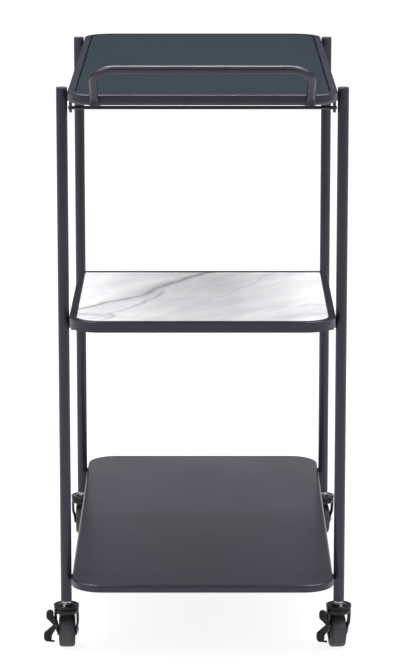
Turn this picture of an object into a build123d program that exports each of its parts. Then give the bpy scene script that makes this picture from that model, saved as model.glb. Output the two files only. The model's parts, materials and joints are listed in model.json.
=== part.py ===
from build123d import *
import os
from math import asin, cos, degrees, radians, sin

# Bar cart on four swivel casters. Millimetres, +Z up.
# The origin is on the floor, midway between the four legs. The handle end faces -Y.

# Casters: wheel, axle and fork
wheel_diameter = 50.0
wheel_width = 23.0
tread_edge_radius = 3.0
tyre_thickness = 8.0
hub_boss_radius = 7.0
hub_rim_thickness = 3.0
hub_web_width = 12.0
hub_rim_step = 0.5            # the hub's rim is this much narrower than the tyre, each side
axle_diameter = 6.0
axle_head_radius = 4.6
axle_head_height = 1.7
axle_head_taper = 30.0
axle_nut_flats = 9.0
axle_nut_height = 2.2
caster_trail = 18.0           # axle behind the swivel axis
arm_wheel_gap = 2.6           # upper arm to the wheel's flank
arm_thickness = 3.8
arm_foot_thickness = 2.6
arm_step = 2.0                # the arms' inner faces step in by this much above the axle
arm_step_start = 10.0         # above the axle
arm_step_end = 5.0
arm_foot_radius = 8.0
arm_reach = 5.0               # of the arm's top, in front of and behind the swivel axis
crown_clearance = 7.4         # wheel top to the underside of the crown
crown_height = 6.6
crown_plate = 3.5
crown_edge_radius = 1.0

# Casters: swivel bearing and threaded stem
race_gap = 0.6
ball_diameter = 4.0
ball_count = 14
ball_pitch_radius = 11.0
ball_clearance = 0.1
cap_overhang = 0.7            # the cap's rim past the crown
cap_rim_height = 4.7
cap_cone_rise = 1.0
cap_seat_radius = 8.4
stem_diameter = 8.0
stem_nut_flats = 13.0
stem_nut_height = 4.7
stem_insertion = 20.0         # stem length inside the leg
rivet_head_radius = 6.5
rivet_head_height = 2.6
rivet_head_taper = 15.0
rivet_play = 0.2

# Brake levers of the two casters at the handle end
shoe_gap = 1.4                # shoe to the wheel's flank, brake off
shoe_reach = 2.2              # shoe edge, from the pivot towards the wheel
shoe_rise = 3.0
shoe_drop = 9.0
shoe_rake = 0.5               # the shoe's foot lies this much further from the wheel than its top
eye_radius = 2.8              # of the lever round its pin
pivot_rise = 14.5             # pivot above the axle
lever_back = 2.6              # lever's rear face in front of the swivel axis
lever_thickness = 7.0
lever_pin_diameter = 3.2
lever_pin_head_radius = 2.8
lever_pin_head_height = 0.9
upper_pad_out = 8.7           # pad centres, outward from the pivot
upper_pad_rise = 15.2
upper_pad_radius = 5.4
lower_pad_out = 12.0
lower_pad_drop = 16.6
lower_pad_radius = 5.9
pad_stretch = 4.6             # each pad is this much taller than wide
hook_thickness = 1.4
hook_reach = 9.8
hook_tilt = 8.0
lug_width = 4.8
lug_height = 8.0
lug_depth = 7.3

# Legs
leg_spacing_x = 396.0
leg_end_inset = 70.0          # leg's axis, from the end of the tray
leg_diameter = 16.0
leg_wall = 1.5
leg_height = 750.5            # from the caster nut to the top of the cap
leg_cap_head = 1.5
leg_cap_plug = 10.0
leg_cap_edge = 0.8
socket_past_stem = 2.0

# Trays and shelves
shelf_gap = 1.0               # between a shelf's side and the leg
tray_length = 755.0
corner_radius = 45.0
sheet = 1.5
rim_width = 10.0
tray_below_leg_top = 2.0
tray_depth = 15.0
tray_recess = 5.0
tray_edge_radius = 2.0
tray_roll_radius = 5.0        # the skirt's lower edge is rolled inwards
roll_notch_gap = 1.0          # round each bracket, where the rolled edge is cut away
glass_thickness = 4.0
glass_gap = 2.0
glass_edge = 0.5
glass_pad_height = 0.6
glass_pad_inset = 20.0         # pad centres, from the edges of the glass
pad_disc_radius = 5.0

middle_height = 427.5         # top of the middle shelf above the leg's foot
middle_length = 386.0
middle_depth = 15.0
middle_rear_corner = 6.0
middle_rear_opening_corner = 3.0
middle_edge_radius = 1.2
middle_lip = 5.0
slab_thickness = 12.0
slab_gap = 0.6
slab_rear_corner = 2.4
slab_below_rim = 0.4
slab_edge = 0.6
slab_pad_height = 0.6
slab_pad_inset = 63.0         # pad centres, from the sides of the shelf
strap_width = 20.0
strap_thickness = 2.0
strap_end_margin = 32.5       # outer straps, from the shelf's two ends

bottom_height = 43.5          # top of the bottom shelf above the leg's foot
bottom_depth = 11.0
bottom_edge_radius = 3.5

# Brackets, screws, spacers and inserts that join the shelves to the legs
bracket_thickness = 4.0
bracket_width = 14.0
bracket_top_gap = 0.1
spacer_diameter = 7.0
spacer_below_skirt = 0.1
screw_diameter = 4.0
screw_head_diameter = 7.0
screw_head_height = 2.2
screw_head_taper = 12.0
screw_socket_flats = 2.5
screw_socket_depth = 1.2
insert_diameter = 6.0
insert_length = 8.0
screw_tip_margin = 1.0        # insert past the tip of the screw
bottom_screw_drop = 7.2       # screw axis below the top of the bottom shelf
rod_diameter = 5.0
rod_below_screw = 13.5
rod_end = 1.5                 # rod past the outer faces of its brackets

# Push handle
handle_diameter = 12.0
handle_wall = 1.2
handle_spacing = 300.0
handle_rise = 42.5            # bar axis above the tray's rim
handle_reach = 50.0           # bar axis in front of the feet's axes
handle_foot_height = 12.0     # where the legs turn outwards, above the skirt's lower edge
handle_foot_bend_radius = 12.0
handle_bend_radius = 30.0
weld_half_width = 9.5         # of the weld behind each foot, where it meets the rolled edge

# Clearances
fit = 0.05                    # radial, between a fixed pin or plug and its hole
running_fit = 0.06            # radial, between a turning part and its shaft
side_play = 0.3

# Heights worked out from the stack of the caster
wheel_radius = wheel_diameter / 2
arm_inner = wheel_width / 2 + arm_wheel_gap
arm_outer = arm_inner + arm_thickness
crown_radius = arm_outer
cap_radius = crown_radius + cap_overhang
crown_bottom = wheel_diameter + crown_clearance
crown_top = crown_bottom + crown_height
cap_bottom = crown_top + race_gap
cap_rim_top = cap_bottom + cap_rim_height
cap_seat = cap_rim_top + cap_cone_rise
leg_foot = cap_seat + stem_nut_height
leg_top = leg_foot + leg_height
stem_top = leg_foot + stem_insertion
ball_height = (crown_top + cap_bottom) / 2
rivet_top = crown_top - crown_plate - rivet_play
rivet_bottom = rivet_top - rivet_head_height

# Places worked out from the legs and the shelves
leg_x = leg_spacing_x / 2
leg_spacing_y = tray_length - 2 * leg_end_inset
leg_y = leg_spacing_y / 2
leg_radius = leg_diameter / 2
leg_bore = leg_radius - leg_wall
tray_width = leg_spacing_x - leg_diameter - 2 * shelf_gap
skirt_x = tray_width / 2
front_y = -tray_length / 2
tray_top = leg_top - tray_below_leg_top
tray_bottom = tray_top - tray_depth
tray_floor = tray_top - tray_recess
middle_top = leg_foot + middle_height
middle_bottom = middle_top - middle_depth
middle_rear_y = front_y + middle_length
middle_mid_y = front_y + middle_length / 2
bottom_top = leg_foot + bottom_height
bottom_underside = bottom_top - bottom_depth
bracket_outer_x = skirt_x - sheet
bracket_inner_x = bracket_outer_x - bracket_thickness
spacer_radius = spacer_diameter / 2
screw_hole = screw_diameter / 2 + fit
rod_hole = rod_diameter / 2 + fit
roll_top = tray_bottom + tray_roll_radius
tray_screw_z = roll_top - spacer_below_skirt - spacer_radius
middle_screw_z = middle_bottom - spacer_below_skirt - spacer_radius
bottom_screw_z = bottom_top - bottom_screw_drop
rod_z = tray_screw_z - rod_below_screw
handle_x = handle_spacing / 2
handle_past_corner = max(0.0, handle_x - (skirt_x - corner_radius))
handle_foot_distance = corner_radius + handle_diameter / 2
handle_foot_turn = asin(handle_past_corner / handle_foot_distance)
handle_foot_y = front_y + corner_radius - handle_foot_distance * cos(handle_foot_turn)
handle_bar_z = tray_top + handle_rise
slab_top = middle_top - slab_below_rim
slab_bottom = slab_top - slab_thickness
strap_top = slab_bottom - slab_pad_height
glass_bottom = tray_floor + glass_pad_height

# Corner name: leg x, leg y, angle in degrees by which the caster stands turned, has a brake
corners = {
    "front_left": (-leg_x, -leg_y, 0.0, True),
    "front_right": (leg_x, -leg_y, 5.0, True),
    "rear_left": (-leg_x, leg_y, 0.0, False),
    "rear_right": (leg_x, leg_y, 5.0, False),
}

# Each shelf joint: side, leg y, height, x of the face the screw's head bears on, x of the spacer's seat
joints = []
for side in (-1, 1):
    for y in (-leg_y, leg_y):
        joints.append((side, y, tray_screw_z, bracket_inner_x, bracket_outer_x))
        joints.append((side, y, bottom_screw_z, skirt_x - sheet, skirt_x))
    joints.append((side, -leg_y, middle_screw_z, bracket_inner_x, bracket_outer_x))

os.makedirs("parts", exist_ok=True)


def save(piece, name):
    """Label a finished piece and write it out."""
    piece.part.label = name
    export_step(piece.part, f"parts/{name}.step")


def side_plane(side, x):
    """Plane square to X at a distance x from the middle, facing outwards, with local x along Y or -Y."""
    return Plane(origin=(side * x, 0, 0), x_dir=(0, side, 0), z_dir=(side, 0, 0))


def tray_outline(inset, mode=Mode.ADD):
    """Rounded outline of the top tray and the bottom shelf, drawn in by an inset."""
    RectangleRounded(
        tray_width - 2 * inset, tray_length - 2 * inset, corner_radius - inset, mode=mode
    )


def middle_outline(inset, rear_radius, mode=Mode.ADD):
    """Outline of the middle shelf: large corners at the handle end, small ones at its rear edge."""
    right = skirt_x - inset
    front = front_y + inset
    rear = middle_rear_y - inset
    front_radius = corner_radius - inset
    with BuildLine() as outline:
        Line((right - rear_radius, rear), (-right + rear_radius, rear))
        RadiusArc((-right + rear_radius, rear), (-right, rear - rear_radius), -rear_radius)
        Line((-right, rear - rear_radius), (-right, front + front_radius))
        RadiusArc((-right, front + front_radius), (-right + front_radius, front), -front_radius)
        Line((-right + front_radius, front), (right - front_radius, front))
        RadiusArc((right - front_radius, front), (right, front + front_radius), -front_radius)
        Line((right, front + front_radius), (right, rear - rear_radius))
        RadiusArc((right, rear - rear_radius), (right - rear_radius, rear), -rear_radius)
    make_face(outline.edges(), mode=mode)


# Legs: round tubes, cross-drilled for the inserts that hold the shelves
for name, (x, y, angle, braked) in corners.items():
    with BuildPart() as leg:
        with BuildSketch(Plane.XY.offset(leg_foot)):
            with Locations((x, y)):
                Circle(leg_radius)
                Circle(leg_bore, mode=Mode.SUBTRACT)
        extrude(amount=leg_height - leg_cap_head)
        for side, joint_y, height, head_x, seat_x in joints:
            if side * x > 0 and joint_y == y:
                with BuildSketch(side_plane(side, leg_x - leg_diameter)):
                    with Locations((side * joint_y, height)):
                        Circle(insert_diameter / 2 + fit)
                extrude(amount=leg_diameter, mode=Mode.SUBTRACT)
    save(leg, f"leg_{name}")

# Flat caps that close the tops of the legs
with BuildPart() as leg_caps:
    with BuildSketch(Plane.XY.offset(leg_top - leg_cap_head)):
        with GridLocations(leg_spacing_x, leg_spacing_y, 2, 2):
            Circle(leg_radius)
    extrude(amount=leg_cap_head)
    fillet(leg_caps.edges().group_by(Axis.Z)[-1], leg_cap_edge)
    with BuildSketch(Plane.XY.offset(leg_top - leg_cap_head)):
        with GridLocations(leg_spacing_x, leg_spacing_y, 2, 2):
            Circle(leg_bore - fit)
    extrude(amount=-leg_cap_plug)
save(leg_caps, "leg_caps")

# Threaded sockets in the feet of the legs, for the caster stems
with BuildPart() as stem_sockets:
    with BuildSketch(Plane.XY.offset(leg_foot)):
        with GridLocations(leg_spacing_x, leg_spacing_y, 2, 2):
            Circle(leg_bore - fit)
            Circle(stem_diameter / 2 + fit, mode=Mode.SUBTRACT)
    extrude(amount=stem_insertion + socket_past_stem)
save(stem_sockets, "stem_sockets")

# Outside and inside of the top tray's skirt, whose lower edge is rolled inwards
with BuildPart() as tray_block:
    with BuildSketch(Plane.XY.offset(tray_bottom)):
        tray_outline(0)
    extrude(amount=tray_depth)
    fillet(tray_block.edges().group_by(Axis.Z)[-1], tray_edge_radius)
    fillet(tray_block.edges().group_by(Axis.Z)[0], tray_roll_radius)

with BuildPart() as tray_hollow:
    with BuildSketch(Plane.XY.offset(tray_bottom + sheet)):
        tray_outline(sheet)
    extrude(amount=tray_floor - 2 * sheet - tray_bottom)
    fillet(tray_hollow.edges().group_by(Axis.Z)[0], tray_roll_radius - sheet)

# Top tray: pressed sheet with a flat rim, a recess for the glass and a skirt, notched at the legs
with BuildPart() as top_tray:
    add(tray_block.part)
    add(tray_hollow.part, mode=Mode.SUBTRACT)
    with BuildSketch(Plane.XY.offset(tray_bottom)):
        tray_outline(tray_roll_radius)
    extrude(amount=tray_roll_radius, mode=Mode.SUBTRACT)
    with BuildSketch(Plane.XY.offset(tray_bottom)):
        with GridLocations(2 * skirt_x, leg_spacing_y, 2, 2):
            Rectangle(4 * tray_roll_radius, bracket_width + 2 * roll_notch_gap)
    extrude(amount=tray_roll_radius, mode=Mode.SUBTRACT)
    with BuildSketch(Plane.XY.offset(tray_top)):
        tray_outline(rim_width)
    extrude(amount=-tray_recess, mode=Mode.SUBTRACT)
    with BuildSketch(Plane.XY.offset(tray_floor - sheet)):
        tray_outline(sheet)
        tray_outline(rim_width - sheet, mode=Mode.SUBTRACT)
    extrude(amount=tray_recess, mode=Mode.SUBTRACT)
save(top_tray, "top_tray")

# Glass plate in the tray, on small clear pads
glass_width = tray_width - 2 * (rim_width + glass_gap)
glass_length = tray_length - 2 * (rim_width + glass_gap)
with BuildPart() as top_glass:
    with BuildSketch(Plane.XY.offset(glass_bottom)):
        tray_outline(rim_width + glass_gap)
    extrude(amount=glass_thickness)
    chamfer(top_glass.edges().group_by(Axis.Z)[-1], glass_edge)
save(top_glass, "top_glass")

pad_spacing_x = glass_width - 2 * glass_pad_inset
pad_spacing_y = (glass_length - 2 * glass_pad_inset) / 2
with BuildPart() as glass_pads:
    with BuildSketch(Plane.XY.offset(tray_floor)):
        with GridLocations(pad_spacing_x, pad_spacing_y, 2, 3):
            Circle(pad_disc_radius)
    extrude(amount=glass_pad_height)
save(glass_pads, "glass_pads")

# Middle shelf: a band with a top flange and a short inner lip, round the marble slab
band_inner_corner = middle_rear_corner - sheet
with BuildPart() as middle_frame:
    with BuildSketch(Plane.XY.offset(middle_bottom)):
        middle_outline(0, middle_rear_corner)
    extrude(amount=middle_depth)
    fillet(middle_frame.edges().group_by(Axis.Z)[-1], middle_edge_radius)
    with BuildSketch(Plane.XY.offset(middle_bottom)):
        middle_outline(rim_width, middle_rear_opening_corner)
    extrude(amount=middle_depth, mode=Mode.SUBTRACT)
    with BuildSketch(Plane.XY.offset(middle_bottom)):
        middle_outline(sheet, band_inner_corner)
    extrude(amount=middle_depth - middle_lip, mode=Mode.SUBTRACT)
    with BuildSketch(Plane.XY.offset(middle_top - middle_lip)):
        middle_outline(sheet, band_inner_corner)
        middle_outline(rim_width - sheet, middle_rear_opening_corner, mode=Mode.SUBTRACT)
    extrude(amount=middle_lip - sheet, mode=Mode.SUBTRACT)
save(middle_frame, "middle_frame")

with BuildPart() as marble_slab:
    with BuildSketch(Plane.XY.offset(slab_bottom)):
        middle_outline(rim_width + slab_gap, slab_rear_corner)
    extrude(amount=slab_thickness)
    chamfer(marble_slab.edges().group_by(Axis.Z)[-1], slab_edge)
save(marble_slab, "marble_slab")

# Straps welded across the band carry the slab on rubber pads
strap_ys = (front_y + strap_end_margin, middle_mid_y, middle_rear_y - strap_end_margin)
with BuildPart() as slab_straps:
    with BuildSketch(Plane.XY.offset(strap_top)):
        with Locations(*[(0, y) for y in strap_ys]):
            Rectangle(tray_width, strap_width)
        middle_outline(sheet, band_inner_corner, mode=Mode.INTERSECT)
    extrude(amount=-strap_thickness)
save(slab_straps, "slab_straps")

slab_pad_x = skirt_x - slab_pad_inset
with BuildPart() as slab_pads:
    with BuildSketch(Plane.XY.offset(strap_top)):
        for y in strap_ys:
            with Locations((-slab_pad_x, y), (slab_pad_x, y)):
                Circle(pad_disc_radius)
    extrude(amount=slab_pad_height)
save(slab_pads, "slab_pads")

# Bottom shelf: pressed sheet, softly rounded and turned down all round
with BuildPart() as bottom_shelf:
    with BuildSketch(Plane.XY.offset(bottom_underside)):
        tray_outline(0)
    extrude(amount=bottom_depth)
    fillet(bottom_shelf.edges().group_by(Axis.Z)[-1], bottom_edge_radius)
    with BuildSketch(Plane.XY.offset(bottom_underside)):
        tray_outline(sheet)
    extrude(amount=bottom_depth - sheet, mode=Mode.SUBTRACT)
    inner_edges = bottom_shelf.edges().filter_by_position(
        Axis.Z, bottom_top - sheet - 0.01, bottom_top - sheet + 0.01
    )
    fillet(inner_edges, bottom_edge_radius - sheet)
    for side, y, height, head_x, seat_x in joints:
        if height == bottom_screw_z:
            with BuildSketch(side_plane(side, skirt_x)):
                with Locations((side * y, height)):
                    Circle(screw_hole)
            extrude(amount=-2 * sheet, mode=Mode.SUBTRACT)
save(bottom_shelf, "bottom_shelf")


# Flat plates that hang inside the skirts, round at the foot: side, leg y, top, and each hole's
# height and radius. The two of the top tray at the handle end reach down to the cross rod.
tray_plate_top = tray_floor - sheet - bracket_top_gap
middle_plate_top = middle_top - sheet - bracket_top_gap
tray_plates = []
middle_plates = []
for side in (-1, 1):
    tray_plates.append(
        (side, -leg_y, tray_plate_top, ((tray_screw_z, screw_hole), (rod_z, rod_hole)))
    )
    tray_plates.append((side, leg_y, tray_plate_top, ((tray_screw_z, screw_hole),)))
    middle_plates.append((side, -leg_y, middle_plate_top, ((middle_screw_z, screw_hole),)))

for name, plates in (("tray_brackets", tray_plates), ("middle_brackets", middle_plates)):
    with BuildPart() as brackets:
        for side, y, top_z, holes in plates:
            foot_z = min(holes)[0]
            with BuildSketch(side_plane(side, bracket_inner_x)):
                with Locations((side * y, (top_z + foot_z) / 2)):
                    Rectangle(bracket_width, top_z - foot_z)
                with Locations((side * y, foot_z)):
                    Circle(bracket_width / 2)
                for hole_z, hole_radius in holes:
                    with Locations((side * y, hole_z)):
                        Circle(hole_radius, mode=Mode.SUBTRACT)
            extrude(amount=bracket_thickness)
    save(brackets, name)

with BuildPart() as cross_rod:
    with BuildSketch(Plane.YZ.offset(-bracket_outer_x - rod_end)):
        with Locations((-leg_y, rod_z)):
            Circle(rod_diameter / 2)
    extrude(amount=2 * (bracket_outer_x + rod_end))
save(cross_rod, "cross_rod")

# Spacers between the shelves and the legs, saddled to the tubes
with BuildPart() as shelf_spacers:
    for side, y, height, head_x, seat_x in joints:
        with BuildSketch(side_plane(side, seat_x)):
            with Locations((side * y, height)):
                Circle(spacer_radius)
                Circle(screw_hole, mode=Mode.SUBTRACT)
        extrude(amount=leg_x - seat_x)
    with BuildSketch(Plane.XY.offset(leg_foot)):
        with GridLocations(leg_spacing_x, leg_spacing_y, 2, 2):
            Circle(leg_radius)
    extrude(amount=leg_height, mode=Mode.SUBTRACT)
save(shelf_spacers, "shelf_spacers")

# Threaded inserts in the legs, flush with the tube
with BuildPart() as leg_inserts:
    for side, y, height, head_x, seat_x in joints:
        with BuildSketch(side_plane(side, leg_x - leg_radius)):
            with Locations((side * y, height)):
                Circle(insert_diameter / 2)
        extrude(amount=insert_length)
    with BuildSketch(Plane.XY.offset(leg_foot)):
        with GridLocations(leg_spacing_x, leg_spacing_y, 2, 2):
            Circle(leg_radius)
    extrude(amount=leg_height, mode=Mode.INTERSECT)
    for side, y, height, head_x, seat_x in joints:
        with BuildSketch(side_plane(side, leg_x - leg_radius)):
            with Locations((side * y, height)):
                Circle(screw_hole)
        extrude(amount=insert_length, mode=Mode.SUBTRACT)
save(leg_inserts, "leg_inserts")

# Button-head screws, driven outwards from inside the shelves
with BuildPart() as shelf_screws:
    for side, y, height, head_x, seat_x in joints:
        with BuildSketch(side_plane(side, head_x)):
            with Locations((side * y, height)):
                Circle(screw_head_diameter / 2)
        extrude(amount=-screw_head_height, taper=screw_head_taper)
        with BuildSketch(side_plane(side, head_x)):
            with Locations((side * y, height)):
                Circle(screw_diameter / 2)
        extrude(amount=leg_x - leg_radius + insert_length - screw_tip_margin - head_x)
    for side, y, height, head_x, seat_x in joints:
        with BuildSketch(side_plane(side, head_x - screw_head_height)):
            with Locations((side * y, height)):
                RegularPolygon(screw_socket_flats / 2, 6, major_radius=False)
        extrude(amount=screw_socket_depth, mode=Mode.SUBTRACT)
save(shelf_screws, "shelf_screws")

# Push handle: bent tube whose feet are welded upright to the tray's front skirt. Its legs lean
# outwards to the bar, so that a hand fits between the bar and the tray. The welds reach back
# under the skirt's rolled edge.
handle_bar_y = handle_foot_y - handle_reach
handle_turn_z = tray_bottom + handle_foot_height
weld_reach = handle_diameter / 2 + tray_roll_radius
with BuildPart() as handle:
    with BuildLine() as handle_path:
        FilletPolyline(
            (-handle_x, handle_foot_y, tray_bottom),
            (-handle_x, handle_foot_y, handle_turn_z),
            (-handle_x, handle_bar_y, handle_bar_z),
            (handle_x, handle_bar_y, handle_bar_z),
            (handle_x, handle_foot_y, handle_turn_z),
            (handle_x, handle_foot_y, tray_bottom),
            radius=(
                handle_foot_bend_radius,
                handle_bend_radius,
                handle_bend_radius,
                handle_foot_bend_radius,
            ),
        )
    with BuildSketch(Plane.XY.offset(tray_bottom)):
        with Locations((-handle_x, handle_foot_y)):
            Circle(handle_diameter / 2)
    sweep(path=handle_path.line)
    for side in (-1, 1):
        turn = Location((side * handle_x, handle_foot_y, 0), (0, 0, side * degrees(handle_foot_turn)))
        with BuildSketch(Plane.XY.offset(tray_bottom)):
            with Locations(turn):
                Polygon(
                    (0, 0),
                    (weld_half_width, weld_reach),
                    (-weld_half_width, weld_reach),
                    align=None,
                )
        extrude(amount=handle_foot_height)
    add(tray_block.part, mode=Mode.SUBTRACT)
    with BuildSketch(Plane.XY.offset(tray_bottom)):
        with Locations((-handle_x, handle_foot_y)):
            Circle(handle_diameter / 2 - handle_wall)
    sweep(path=handle_path.line, mode=Mode.SUBTRACT)
save(handle, "handle")


class Caster:
    """Planes and axes of one caster: its axle lies along local x, and local y points to the trail."""

    def __init__(self, x, y, angle):
        turn = radians(angle)
        self.across = Vector(cos(turn), sin(turn), 0)
        self.back = Vector(-sin(turn), cos(turn), 0)
        self.foot = Vector(x, y, 0)
        self.swivel_axis = Axis(self.foot, (0, 0, 1))
        axle_centre = self.foot + self.back * caster_trail + Vector(0, 0, wheel_radius)
        self.axle_axis = Axis(axle_centre, self.across)

    def level(self, height):
        return Plane(origin=self.foot + Vector(0, 0, height), x_dir=self.across, z_dir=(0, 0, 1))

    def beside(self, x):
        """Side-view plane at local x: its first axis points to the trail and its second upwards."""
        return Plane(origin=self.foot + self.across * x, x_dir=self.back, z_dir=self.across)

    def before(self, y):
        """Front-view plane at local y: its first axis points across and its second upwards."""
        return Plane(origin=self.foot + self.back * y, x_dir=self.across, z_dir=self.back * -1)


casters = {}
for name, (x, y, angle, braked) in corners.items():
    casters[name] = Caster(x, y, angle)

# Parts of the casters that stay with the legs: stems, nuts and bearing caps
with BuildPart() as caster_stems:
    for caster in casters.values():
        with BuildSketch(caster.level(rivet_top)):
            Circle(rivet_head_radius)
        extrude(amount=-rivet_head_height, taper=rivet_head_taper)
        with BuildSketch(caster.level(rivet_bottom)):
            Circle(stem_diameter / 2)
        extrude(amount=stem_top - rivet_bottom)
save(caster_stems, "caster_stems")

with BuildPart() as stem_nuts:
    for caster in casters.values():
        with BuildSketch(caster.level(cap_seat)):
            RegularPolygon(stem_nut_flats / 2, 6, major_radius=False)
            Circle(stem_diameter / 2 + fit, mode=Mode.SUBTRACT)
        extrude(amount=stem_nut_height)
save(stem_nuts, "stem_nuts")

with BuildPart() as bearing_caps:
    for caster in casters.values():
        with BuildSketch(caster.beside(0)):
            Polygon(
                (stem_diameter / 2 + fit, cap_bottom),
                (cap_radius, cap_bottom),
                (cap_radius, cap_rim_top),
                (cap_seat_radius, cap_seat),
                (stem_diameter / 2 + fit, cap_seat),
                align=None,
            )
        revolve(axis=caster.swivel_axis)
    for caster in casters.values():
        with BuildSketch(caster.beside(0)):
            with Locations((ball_pitch_radius, ball_height)):
                Circle(ball_diameter / 2 + ball_clearance)
        revolve(axis=caster.swivel_axis, mode=Mode.SUBTRACT)
save(bearing_caps, "bearing_caps")

# Front view of the fork's arms: distances from the middle of the wheel and heights
foot_inner = arm_inner - arm_step
foot_outer = foot_inner + arm_foot_thickness
foot_height = wheel_radius - arm_foot_radius
step_start = wheel_radius + arm_step_start
step_end = wheel_radius + arm_step_end
arm_top = crown_top - crown_plate

# Front view of the brake lever
pivot_x = -(wheel_width / 2 + shoe_gap + shoe_reach)
pivot_z = wheel_radius + pivot_rise
upper_x = pivot_x - upper_pad_out
upper_z = pivot_z + upper_pad_rise
lower_x = pivot_x - lower_pad_out
lower_z = pivot_z - lower_pad_drop
hook_z = lower_z - lower_pad_radius - pad_stretch / 2 + hook_thickness / 2

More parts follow.
